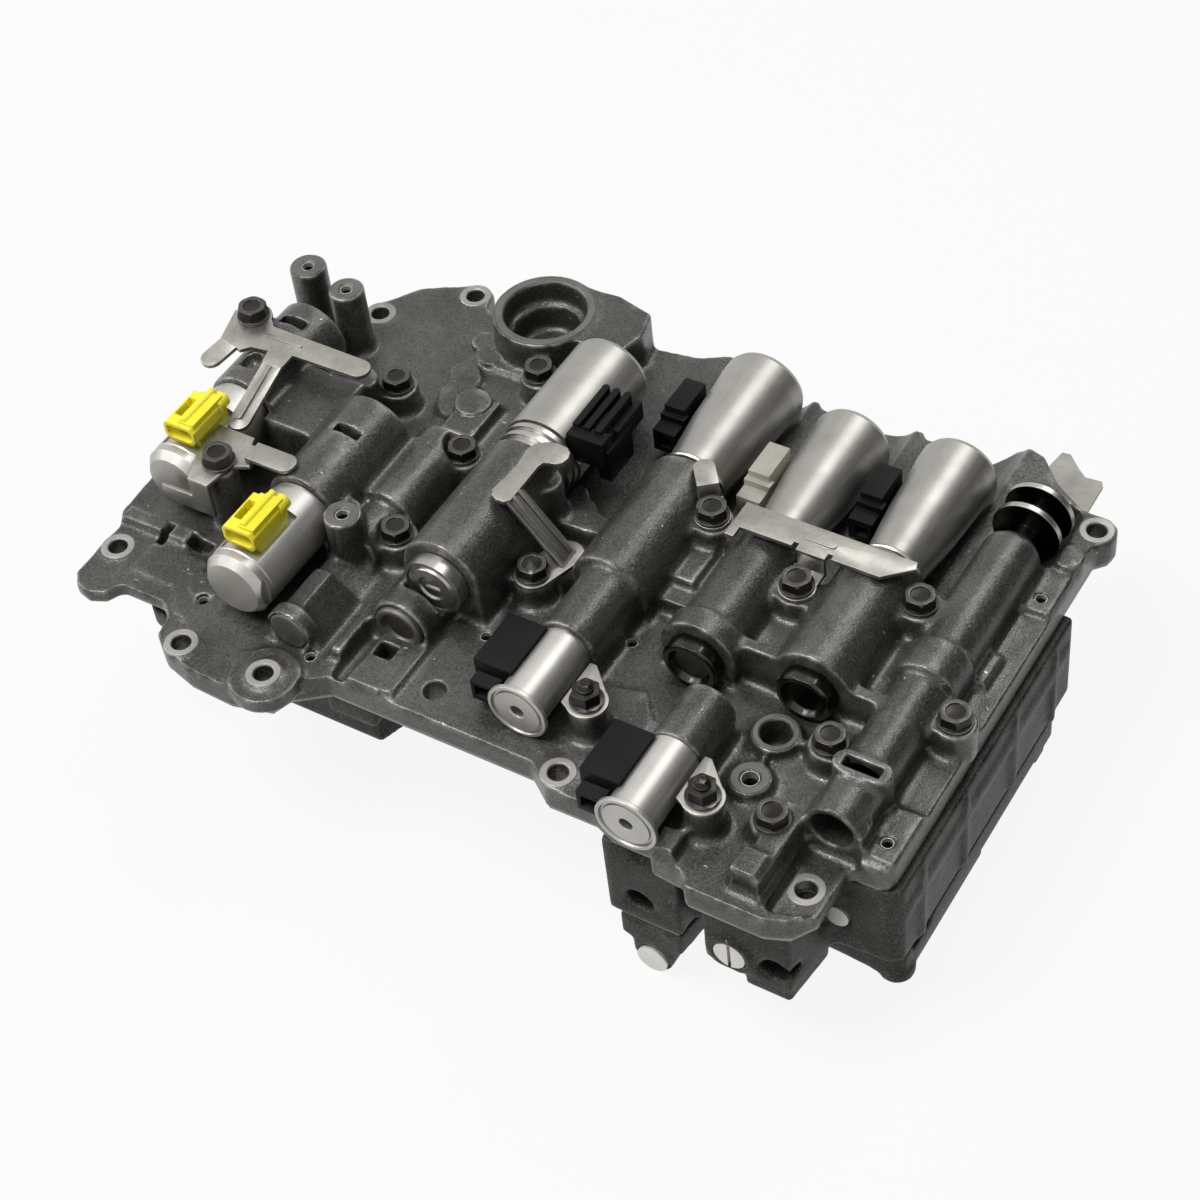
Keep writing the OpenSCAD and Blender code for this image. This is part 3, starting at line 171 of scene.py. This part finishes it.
# metal worked along y: drawn cans, ground valves, rolled sheet; streaks are stretched noise
def makeDrawn(name, pale, deep, rough, streak, along=(1.0, 0.06, 1.0), metal=1.0, rubbed=None):
    m = newMaterial(name)
    place = addNode(m, "ShaderNodeTexCoord").outputs["Object"]
    pull = addNode(m, "ShaderNodeMapping", {"Scale": along}, {"Vector": place})
    lines = addNode(m, "ShaderNodeTexNoise", {"Scale": perMm(streak), "Detail": 2.0, "Roughness": 0.6},
                    {"Vector": pull.outputs["Vector"]})
    cloud = addNode(m, "ShaderNodeTexNoise", {"Scale": perMm(11.0), "Detail": 3.0}, {"Vector": place})
    tone = addNode(m, "ShaderNodeMath", {"operation": "MULTIPLY_ADD", 1: 0.5},
                   {0: lines.outputs["Fac"], 2: cloud.outputs["Fac"]})
    colour = addNode(m, "ShaderNodeValToRGB", {"stops": [(0.45, deep), (0.95, pale)]},
                     {"Fac": tone.outputs["Value"]})
    if rubbed:  # edges paler where the mesh is sharp: wear, and also a painted highlight
        bend = addNode(m, "ShaderNodeNewGeometry").outputs["Pointiness"]
        wornAndHighlitEdge = addNode(m, "ShaderNodeMapRange", {"From Min": 0.52, "From Max": 0.62, "To Max": 0.85},
                       {"Value": bend})
        colour = addNode(m, "ShaderNodeMixRGB", {"Color2": rubbed},
                         {"Fac": wornAndHighlitEdge.outputs["Result"], "Color1": colour.outputs["Color"]})
    gloss = addNode(m, "ShaderNodeMapRange", {"To Min": rough - 0.04, "To Max": rough + 0.06},
                    {"Value": lines.outputs["Fac"]})
    soft = addNode(m, "ShaderNodeBevel", {"samples": 4, "Radius": 0.25 * mm})
    bump = addNode(m, "ShaderNodeBump", {"Strength": 0.06, "Distance": 0.03 * mm},
                   {"Height": lines.outputs["Fac"], "Normal": soft.outputs["Normal"]})
    shader = addNode(m, "ShaderNodeBsdfPrincipled", {"Metallic": metal},
                     {"Base Color": colour.outputs["Color"], "Roughness": gloss.outputs["Result"],
                      "Normal": bump.outputs["Normal"]})
    return finishMaterial(m, shader)


# glass-filled nylon as moulded: fine spark-eroded grain, paler in broad random clouds
def makeMoulded(name, body, rubbed, rough, shine=0.5):
    m = newMaterial(name)
    place = addNode(m, "ShaderNodeTexCoord").outputs["Object"]
    grain = addNode(m, "ShaderNodeTexNoise", {"Scale": perMm(0.7), "Detail": 2.0}, {"Vector": place})
    cloud = addNode(m, "ShaderNodeTexNoise", {"Scale": perMm(9.0), "Detail": 3.0}, {"Vector": place})
    colour = addNode(m, "ShaderNodeValToRGB", {"stops": [(0.3, body), (0.9, rubbed)]},
                     {"Fac": cloud.outputs["Fac"]})
    gloss = addNode(m, "ShaderNodeMapRange", {"To Min": rough - 0.08, "To Max": rough + 0.1},
                    {"Value": grain.outputs["Fac"]})
    soft = addNode(m, "ShaderNodeBevel", {"samples": 4, "Radius": 0.3 * mm})
    bump = addNode(m, "ShaderNodeBump", {"Strength": 0.2, "Distance": 0.04 * mm},
                   {"Height": grain.outputs["Fac"], "Normal": soft.outputs["Normal"]})
    shader = addNode(m, "ShaderNodeBsdfPrincipled", {"IOR": 1.53, "Specular IOR Level": shine},
                     {"Base Color": colour.outputs["Color"], "Roughness": gloss.outputs["Result"],
                      "Normal": bump.outputs["Normal"]})
    return finishMaterial(m, shader)


even = (1.0, 1.0, 1.0)  # no streaks
canPull = (1.0, 0.03, 1.0)  # long streaks along the can
castAluminium = makeCast("die cast aluminium", castLook)
shadedCastAluminium = makeCast("die cast aluminium painted darker as shade", shadedCastLook)
canSteel = makeDrawn("drawn can steel", "#a09e99", "#918f8a", 0.4, 1.4, canPull, 0.88)
brightCan = makeDrawn("bright drawn can steel", "#b8b6b1", "#a8a6a1", 0.42, 1.4, canPull, 0.9)
groundSteel = makeDrawn("ground steel", "#b4b2ad", "#97958f", 0.32, 0.6)
zincSheet = makeDrawn("zinc plated sheet", "#a19f98", "#87857f", 0.4, 1.2, (1.0, 0.5, 1.0))
brightPlug = makeDrawn("bright plug aluminium", "#e4e2dd", "#cfcdc8", 0.4, 1.0, even, 0.6)
# dark steel: the valve plugs' own tone, and on the manual valve painted shade and dark reflection
darkSteelAndShade = makeDrawn("dark valve steel and painted shade", "#474642", "#2d2c29", 0.24, 0.8)
plateSteel = makeDrawn("cold rolled sheet", "#8f8d88", "#75736e", 0.45, 1.2, (0.2, 1.0, 1.0))
springWire = makeDrawn("spring wire", "#a5a39d", "#87857f", 0.3, 1.0)
valveAlloy = makeDrawn("anodised valve alloy", "#b0aea8", "#918f89", 0.34, 1.0)
# the last colour is for sharp edges: wear, and also a painted highlight
phosphate = makeDrawn("phosphated steel", "#33312e", "#1b1a18", 0.34, 1.0, even, 0.8, "#b5b2ab")
plugSteel = makeDrawn("dull plug steel", "#6f6d68", "#53514d", 0.44, 1.0, even, 0.7, "#a19e97")
blackNylon = makeMoulded("black nylon", "#070707", "#0f0e0e", 0.5, 0.12)
greyNylon = makeMoulded("grey nylon", "#9b988c", "#b0ada1", 0.5)
yellowNylon = makeMoulded("yellow nylon", "#e8da1c", "#f2e73a", 0.42)
bySlot = {"die_cast_aluminium": castAluminium, "plate_steel": plateSteel, "can_steel": canSteel,
          "ground_steel": groundSteel, "zinc_plated_steel": zincSheet, "spring_steel": springWire,
          "anodised_aluminium": valveAlloy, "phosphated_steel": phosphate, "black_plastic": blackNylon,
          "grey_plastic": greyNylon, "yellow_plastic": yellowNylon}
finishOf = {"manual_valve": darkSteelAndShade, "valve_plugs": darkSteelAndShade, "cup_plug": plugSteel,
            "disc_plug": plugSteel, "face_plug": brightPlug, "slotted_plug": brightPlug,
            "side_plug": brightPlug, "middle_body": shadedCastAluminium, "lower_body": shadedCastAluminium,
            "shift_solenoid_1_can": brightCan, "shift_solenoid_2_can": brightCan,
            "pressure_solenoid_1_can": brightCan,
            "pressure_solenoid_2_can": brightCan}  # finishes of their own; the bodies below take a casting colour painted darker as shade, and the manual valve a dark steel painted as shade
slotOf = {s["node"]: s["material_slot"] for s in frame["record"]["subparts"]}
bodyOf = {n: b for b, members in frame["record"]["behaviour"]["bodies"].items() for n in members}
for name, part in nodes.items():
    part.data.materials.clear()
    part.data.materials.append(finishOf.get(name, bySlot[slotOf[name]]))
print("materials ready")


def mergedCopy(name):
    bm = bmesh.new()
    bm.from_mesh(nodes[name].data)
    bmesh.ops.remove_doubles(bm, verts=bm.verts, dist=mergeGap)
    return bm


def addPiece(name, bm, material, body, smooth=True):
    mesh = bpy.data.meshes.new(name)
    bm.to_mesh(mesh)
    bm.free()
    mesh.materials.append(material)
    if smooth:
        mesh.shade_smooth()
    else:
        mesh.shade_flat()
    piece = bpy.data.objects.new(name, mesh)
    scene.collection.objects.link(piece)
    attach(piece, body)
    return piece


# castings: the solid is grown and shrunk by the fillet, which rounds its inner corners as a die does,
# then small holes and windows that the fillet would close are opened again
upperHoles = [(-171.3, -55.8, 3.5, -12, 6), (-121.6, -83, 3.5, -12, 6), (-85.3, -83, 3.5, -12, 6),
              (27.5, -72.6, 3.5, -12, 6), (-155.7, 92, 3.5, -12, 6), (-127, 116.8, 3.5, -12, 6),
              (140, 105, 3.5, -12, 6), (-29.4, -60.7, 4, -12, 6), (120, -74, 3.5, -12, 6),
              (-174, 77, 2.5, 12, 32), (-153.5, 73, 2.5, 12, 32), (-88.9, -23.8, 2.5, 8, 27),
              (86, -48, 3.2, -8, 6), (-27, -32, 2.2, -6, 5), (20, -12, 2.2, -6, 5),
              (-77, -67.5, 2.2, -6, 5), (-127, -63, 2.2, -6, 5), (136.5, -50, 2.2, -6, 5),
              (136.5, 66, 2.2, -6, 5)]  # x, y, radius, bottom, top
upperWindows = [(114.8, 128, -39.1, -34.9, 12, 18), (-113, -102.5, 6, 10, 24, 34),
                (-166.5, -155.5, 46.5, 50.5, 24, 34), (-160.2, -156.6, -48, -39, -12, 4),
                (-148.5, -139.5, -44, -39, -6, 4), (-56.5, -49.5, -58, -52, -6, 4)]  # x, y and z ranges
# cast bosses and, last, the threaded post: x, y, radius, top
upperSwells = [(-106.5, 77.5, 5.4, 1.5), (-104.3, 65.8, 5.0, 1.3), (-91.5, 61, 7.0, 6.2),
               (-108, 94.5, 5.2, 2.6), (-101.5, 88, 4.4, 2.4), (-130, -56.5, 6.0, 0.9),
               (-140, -51, 4.0, 0.8), (-97, -80, 4.0, 1.2), (-88.9, -23.8, 6.8, 25)]
castings = {"upper_body": {"fillet": 2.2, "voxel": 0.65, "holes": upperHoles, "windows": upperWindows,
                           "swells": upperSwells},
            "middle_body": {"fillet": 2.0, "voxel": 0.9, "holes": [], "windows": [], "swells": []},
            "lower_body": {"fillet": 2.0, "voxel": 0.9, "holes": [], "windows": [], "swells": []}}
mostTriangles = 190000
blendWidth = 1.6  # smooth join of a boss with the deck, mm
reach = 3.0  # how far round a hole, window or boss the field is changed, mm
bossFoot = -2.5  # a boss starts below the deck, mm


def distanceField(points, triangles, quads, voxel, depth):
    return openvdb.FloatGrid.createLevelSetFromPolygons(
        points, triangles=triangles, quads=quads,
        transform=openvdb.createLinearTransform(voxelSize=voxel), halfWidth=depth / voxel + 3)


def filletedField(name, voxel, fillet):
    bm = mergedCopy(name)
    bmesh.ops.triangulate(bm, faces=bm.faces)
    points = np.array([v.co for v in bm.verts], np.float32) / mm
    triangles = np.array([[v.index for v in f.verts] for f in bm.faces], np.uint32)
    bm.free()
    grid = distanceField(points, triangles, np.zeros((0, 4), np.uint32), voxel, fillet)
    points, triangles, quads = grid.convertToPolygons(isovalue=fillet)
    grid = distanceField(points, triangles, quads, voxel, fillet)
    low, high = grid.evalActiveVoxelBoundingBox()
    field = np.zeros([b - a + 1 for a, b in zip(low, high)], np.float32)
    grid.copyToArray(field, ijk=low)
    field += fillet
    for axis in range(3):  # a light blur rounds the outer edges
        field = (np.roll(field, 1, axis) + 2 * field + np.roll(field, -1, axis)) / 4
    return field, low


def around(axes, *spans):
    picks = [np.flatnonzero((a > low - reach) & (a < high + reach)) for a, (low, high) in zip(axes, spans)]
    x, y, z = [a[pick] for a, pick in zip(axes, picks)]
    return np.ix_(*picks), x[:, None, None], y[None, :, None], z[None, None, :]


def outOf(values, low, high):
    return np.maximum(low - values, values - high)


def detailField(field, axes, spec):
    for cx, cy, r, top in spec["swells"]:
        spot, x, y, z = around(axes, (cx - r, cx + r), (cy - r, cy + r), (bossFoot + reach, top))
        boss = np.maximum(np.hypot(x - cx, y - cy) - r, z - top)
        old = field[spot]
        blend = np.clip(0.5 + 0.5 * (boss - old) / blendWidth, 0, 1)
        field[spot] = boss * (1 - blend) + old * blend - blendWidth * blend * (1 - blend)
    for cx, cy, r, z0, z1 in spec["holes"]:
        spot, x, y, z = around(axes, (cx - r, cx + r), (cy - r, cy + r), (z0, z1))
        hole = np.maximum(np.hypot(x - cx, y - cy) - r, outOf(z, z0, z1))
        field[spot] = np.maximum(field[spot], -hole)
    for x0, x1, y0, y1, z0, z1 in spec["windows"]:
        spot, x, y, z = around(axes, (x0, x1), (y0, y1), (z0, z1))
        window = np.maximum(outOf(x, x0, x1), np.maximum(outOf(y, y0, y1), outOf(z, z0, z1)))
        field[spot] = np.maximum(field[spot], -window)


def fieldSurface(name, field, low, voxel):
    band = 4 * voxel
    grid = openvdb.FloatGrid(band)
    grid.gridClass = openvdb.GridClass.LEVEL_SET
    grid.transform = openvdb.createLinearTransform(voxelSize=voxel)
    grid.copyFromArray(np.clip(field, -band, band), ijk=low)
    points, triangles, quads = grid.convertToPolygons(isovalue=0.0, adaptivity=0.02)
    mesh = bpy.data.meshes.new(name + " form")
    faces = [list(f[::-1]) for f in triangles] + [list(f[::-1]) for f in quads]
    mesh.from_pydata((points * mm).tolist(), [], faces)
    bm = bmesh.new()
    bm.from_mesh(mesh)
    bpy.data.meshes.remove(mesh)
    bmesh.ops.triangulate(bm, faces=bm.faces)
    bmesh.ops.recalc_face_normals(bm, faces=bm.faces)
    return bm


def thinDown(piece, count):
    thin = piece.modifiers.new("thin", "DECIMATE")
    thin.ratio = mostTriangles / count
    dense = piece.data
    depsgraph = bpy.context.evaluated_depsgraph_get()
    piece.data = bpy.data.meshes.new_from_object(piece.evaluated_get(depsgraph))
    piece.modifiers.clear()
    bpy.data.meshes.remove(dense)
    piece.data.shade_smooth()


def castForm(name, spec):
    voxel = spec["voxel"] * 1.0
    field, low = filletedField(name, voxel, spec["fillet"])
    axes = [((np.arange(n) + a) * voxel - d).astype(np.float32) for n, a, d in zip(field.shape, low, datum)]
    detailField(field, axes, spec)
    bm = fieldSurface(name, field, low, voxel)
    count = len(bm.faces)
    piece = addPiece(name + "_casting", bm, nodes[name].data.materials[0], bodyOf[name])
    if count > mostTriangles:
        thinDown(piece, count)
    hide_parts(name)
    print(name, "casting:", count, "triangles, kept", len(piece.data.polygons))


for name, spec in castings.items():
    castForm(name, spec)


# lands cut round the case bolt holes, and rims only skimmed: filter port, open passages, threaded posts
lands = {"case_hole_lands": [(-171.3, -55.8, 0.8, 3.6, 6.4), (-121.6, -83, 0.8, 3.6, 6.4),
                             (-85.3, -83, 3.2, 3.6, 6.4), (27.5, -72.6, 0.8, 3.6, 6.4),
                             (-155.7, 92, 0.8, 3.6, 6.4), (-127, 116.8, 0.8, 3.6, 6.4),
                             (140, 105, 0.8, 3.6, 6.4), (120, -74, -4.5, 3.6, 6.6),
                             (-87.5, 108, 5, 13.3, 15.6)],
         "skimmed_rims": [(85, -28.2, 4.8, 5.7, 8.0), (86, -48, 3.4, 3.5, 6.7),
                          (-87.5, 108, 15, 16.4, 19.4), (-88.9, -23.8, 25, 2.8, 6.2),
                          (-174, 77, 30, 2.8, 6.2),
                          (-153.5, 73, 29, 2.8, 5.9)]}  # x, y, face height, inner and outer radius
drilled = [(-27, -32, 2.2, -2.3, -0.3), (20, -12, 2.2, -2.3, -0.3), (-77, -67.5, 2.2, -2.3, -0.3),
           (-127, -63, 2.2, -2.3, -0.3), (136.5, -50, 2.2, -0.8, 1.2), (136.5, 66, 2.2, 0, 2.0),
           (86, -48, 3.2, -0.5, 3.0), (-88.9, -23.8, 2.5, 22.4, 24.6), (-174, 77, 2.5, 27.4, 29.6),
           (-153.5, 73, 2.5, 26.4, 28.6)]  # walls of drilled holes, machined and also painted near white as the glint inside: x, y, radius, bottom, top


def spinProfile(bm, profile, centre, axis, steps=48):
    verts = [bm.verts.new(p) for p in profile]
    edges = [bm.edges.new(pair) for pair in zip(verts, verts[1:])]
    bmesh.ops.spin(bm, geom=verts + edges, cent=centre, axis=axis, angle=math.tau, steps=steps,
                   use_merge=True)


def makeLands(name, places, material, rise=0.18, chamfer=0.4, sunk=1.0):
    bm = bmesh.new()
    for x, y, z, a, b in places:
        c = datum + Vector((x, y, z))
        outline = [(a, -sunk), (a, rise - chamfer), (a + chamfer, rise), (b - chamfer, rise),
                   (b, rise - chamfer), (b, -sunk), (a, -sunk)]
        spinProfile(bm, [(c + Vector((r, 0, h))) * mm for r, h in outline], c * mm, (0, 0, 1))
    bmesh.ops.remove_doubles(bm, verts=bm.verts, dist=mergeGap)
    bmesh.ops.recalc_face_normals(bm, faces=bm.faces)
    addPiece(name, bm, material, "valve_body", False)


machinedAluminium = makeDrawn("machined aluminium", "#a3a19b", "#84827c", 0.42, 0.9, even, 0.7)
skimmedAluminium = makeDrawn("skimmed cast aluminium", "#6c6a65", "#54524e", 0.46, 0.9, even, 0.6)
# drilled walls: machined metal, and also painted near white as the glint inside the holes
drilledWallGlint = makeDrawn("drilled aluminium with painted glint", "#dedcd6", "#c4c2bc", 0.34, 0.5, (0.1, 0.1, 1.0), 0.6)
makeLands("case_hole_lands", lands["case_hole_lands"], machinedAluminium)
makeLands("skimmed_rims", lands["skimmed_rims"], skimmedAluminium)
bm = bmesh.new()
for x, y, hole, z0, z1 in drilled:
    c = datum + Vector((x, y, 0))
    inner = hole - 0.25
    outer = hole - 0.04  # a thin sleeve just inside the hole
    wall = [(inner, z0), (outer, z0), (outer, z1), (inner, z1), (inner, z0)]
    spinProfile(bm, [(c + Vector((r, 0, h))) * mm for r, h in wall], c * mm, (0, 0, 1), 32)
bmesh.ops.remove_doubles(bm, verts=bm.verts, dist=mergeGap)
bmesh.ops.recalc_face_normals(bm, faces=bm.faces)
addPiece("drilled_walls", bm, drilledWallGlint, "valve_body", False)
print("machined lands done")


# bright turned rings along y: the discs' rims on the manual valve, a painted highlight over its steel
# painted dark as shade, and the rolled mouths of the conical cans
turned = {"disc_rims": {"body": bodyOf["manual_valve"], "slot": slotOf["manual_valve"], "rings": [
              (120.7, 6.5, [(12.5, 87.6), (12.68, 87.8), (12.68, 89.8), (12.5, 89.95)]),
              (120.7, 6.5, [(12.5, 98.1), (12.68, 98.3), (12.68, 100.3), (12.5, 100.5)])]},
          "can_mouths": {"body": bodyOf["solenoid_b_can"], "slot": slotOf["solenoid_b_can"], "rings": [
              (5.5, 9.5, [(11.9, 56.0), (13.1, 56.2), (13.5, 56.9), (13.1, 57.7), (12.0, 58.1)]),
              (47.5, 9.0, [(10.7, 45.0), (11.9, 45.2), (12.3, 45.9), (11.9, 46.7), (10.8, 47.1)]),
              (88.0, 9.0, [(10.9, 48.0), (12.1, 48.2), (12.5, 48.9), (12.1, 49.7), (11.0, 50.1)])]}}
for name, spec in turned.items():
    bm = bmesh.new()
    for x, z, profile in spec["rings"]:
        ends = [Vector((x + r, y, z)) for r, y in profile]
        ends.append(ends[0])
        c = datum + Vector((x, 0, z))
        spinProfile(bm, [(datum + p) * mm for p in ends], c * mm, (0, 1, 0), 64)
    bmesh.ops.remove_doubles(bm, verts=bm.verts, dist=mergeGap)
    bmesh.ops.recalc_face_normals(bm, faces=bm.faces)
    ring = addPiece(name, bm, groundSteel, spec["body"])
    ring.data.set_sharp_from_angle(angle=math.radians(40))
print("turned rings done")


# bevelled copies of sheet metal, connectors, plugs and bolts: same form, edges broken by this many mm
edgeBreak = {"hook_clip": 0.3, "long_clip": 0.25, "finger_clip": 0.35, "tee_bracket": 0.25,
             "solenoid_bracket": 0.35, "shift_solenoid_1_bracket": 0.35,
             "shift_solenoid_2_bracket": 0.35, "deck_bolts": 0.36, "bracket_bolts": 0.36,
             "hook_bolt": 0.36, "bracket_studs": 0.3, "cup_plug": 0.2, "disc_plug": 0.2,
             "valve_plugs": 0.2, "solenoid_a_connector": 0.4, "solenoid_b_connector": 0.5,
             "solenoid_c_connector": 0.5, "solenoid_d_connector": 0.5,
             "pressure_solenoid_1_connector": 0.4, "pressure_solenoid_2_connector": 0.4,
             "shift_solenoid_1_connector": 0.5, "shift_solenoid_2_connector": 0.5}
sharpFrom = math.radians(28)  # edges folded more than this are broken
flatWithin = math.radians(1)  # faces that lie this close are one face


def softCopy(name, width):
    bm = mergedCopy(name)
    bmesh.ops.recalc_face_normals(bm, faces=bm.faces)
    bmesh.ops.dissolve_limit(bm, angle_limit=flatWithin, verts=bm.verts, edges=bm.edges)
    sharp = [e for e in bm.edges if len(e.link_faces) == 2 and e.calc_face_angle(0.0) > sharpFrom]
    bmesh.ops.bevel(bm, geom=sharp, offset=width * mm, offset_type="OFFSET", segments=2, profile=0.5,
                    affect="EDGES", material=-1, clamp_overlap=True)
    bmesh.ops.triangulate(bm, faces=[f for f in bm.faces if len(f.verts) > 4])
    piece = addPiece(name + "_edged", bm, nodes[name].data.materials[0], bodyOf[name])
    piece.data.set_sharp_from_angle(angle=math.radians(38))
    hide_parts(name)


for name, width in edgeBreak.items():
    softCopy(name, width)
print("edges broken")


# springs: merged copies with meshes of their own, hung on their bodies
for joint in frame["record"]["behaviour"]["joints"]:
    for spring in joint.get("deforming_nodes", []):
        name = spring["node"]
        bm = mergedCopy(name)
        bmesh.ops.recalc_face_normals(bm, faces=bm.faces)
        coil = addPiece(name + "_coil", bm, springWire, bodyOf[name])
        coil.data.set_sharp_from_angle(angle=math.radians(40))
        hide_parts(name)
        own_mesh(coil)
print("springs done")


# camera solved from the photo: turned round the deck's zero
view = {"turn": 36.4, "height": 47.2, "roll": 7.47, "away": 906.0, "lens": 78.0}
turn, height, roll = [math.radians(view[k]) for k in ("turn", "height", "roll")]
back = Vector((math.sin(turn) * math.cos(height), -math.cos(turn) * math.cos(height), math.sin(height)))
side = Vector((math.cos(turn), math.sin(turn), 0))
over = back.cross(side)
right = math.cos(roll) * side - math.sin(roll) * over
up = math.sin(roll) * side + math.cos(roll) * over
eye = (datum + back * view["away"]) * mm
cameraData = bpy.data.cameras.new("photo view")
cameraData.lens = view["lens"]
cameraData.sensor_width = 36
cameraData.clip_start = 0.05
camera = bpy.data.objects.new("photo view", cameraData)
camera.matrix_world = Matrix([(right[i], up[i], back[i], eye[i]) for i in range(3)] + [(0, 0, 0, 1)])
scene.collection.objects.link(camera)
scene.camera = camera


def seenDirectly(material):
    rays = addNode(material, "ShaderNodeLightPath")
    seen = addNode(material, "ShaderNodeMath", {"operation": "MAXIMUM"},
                   {0: rays.outputs["Is Camera Ray"], 1: rays.outputs["Is Glossy Ray"]})
    seenAll = addNode(material, "ShaderNodeMath", {"operation": "MAXIMUM"},
                      {0: seen.outputs["Value"], 1: rays.outputs["Is Transmission Ray"]})
    return seenAll.outputs["Value"]


def stageSheet(name, paint, **grid):
    bm = bmesh.new()
    bmesh.ops.create_grid(bm, x_segments=1, y_segments=1, **grid)
    mesh = bpy.data.meshes.new(name)
    bm.to_mesh(mesh)
    bm.free()
    mesh.materials.append(paint)
    sheet = bpy.data.objects.new(name, mesh)
    scene.collection.objects.link(sheet)


# pale floor that shows white but keeps a soft shadow
floorPaint = newMaterial("white floor paint")
share = addNode(floorPaint, "ShaderNodeMath", {"operation": "MULTIPLY", 1: 0.9},
                {0: seenDirectly(floorPaint)})
matte = addNode(floorPaint, "ShaderNodeBsdfDiffuse", {"Color": "#cfcfcd"})
glow = addNode(floorPaint, "ShaderNodeEmission", {"Color": "#ffffff", "Strength": 1.0})
both = addNode(floorPaint, "ShaderNodeMixShader", {}, {0: share.outputs["Value"], 1: matte.outputs["BSDF"],
                                                      2: glow.outputs["Emission"]})
stageSheet("floor", finishMaterial(floorPaint, both), size=4.0)

world = bpy.data.worlds.new("studio")
scene.world = world
world.use_nodes = True
world.node_tree.nodes.remove(world.node_tree.nodes["Background"])
level = addNode(world, "ShaderNodeMapRange", {"To Min": 0.17, "To Max": 1.0},
                {"Value": seenDirectly(world)})
sky = addNode(world, "ShaderNodeBackground", {"Color": "#ffffff"}, {"Strength": level.outputs["Result"]})
skyOut = world.node_tree.nodes["World Output"]
world.node_tree.links.new(sky.outputs["Background"], skyOut.inputs["Surface"])

aim = Vector((0, 0, 0.06))


def facing(at):
    return Matrix.Translation(at) @ (Vector(at) - aim).to_track_quat("Z", "Y").to_matrix().to_4x4()


# a dark card at the back right, which draws the darker half of the cans and shades the right side
cardPaint = newMaterial("dark card")
finishMaterial(cardPaint, addNode(cardPaint, "ShaderNodeBsdfDiffuse", {"Color": "#666666"}))
stageSheet("card", cardPaint, size=0.75, matrix=facing((1.0, 0.62, 0.62)))

lamps = {"top": {"at": (-0.35, -0.45, 1.3), "size": 0.6, "power": 14.0},
         "left": {"at": (-1.1, -0.3, 0.75), "size": 0.4, "power": 4.0},
         "ridge": {"at": (0.25, 0.85, 1.25), "size": 0.65, "power": 7.0}}
for name, lamp in lamps.items():
    data = bpy.data.lights.new(name, "AREA")
    data.size = lamp["size"]
    data.energy = lamp["power"]
    light = bpy.data.objects.new(name, data)
    light.matrix_world = facing(lamp["at"])
    scene.collection.objects.link(light)
scene.view_settings.view_transform = "Standard"
print("camera and lights set")
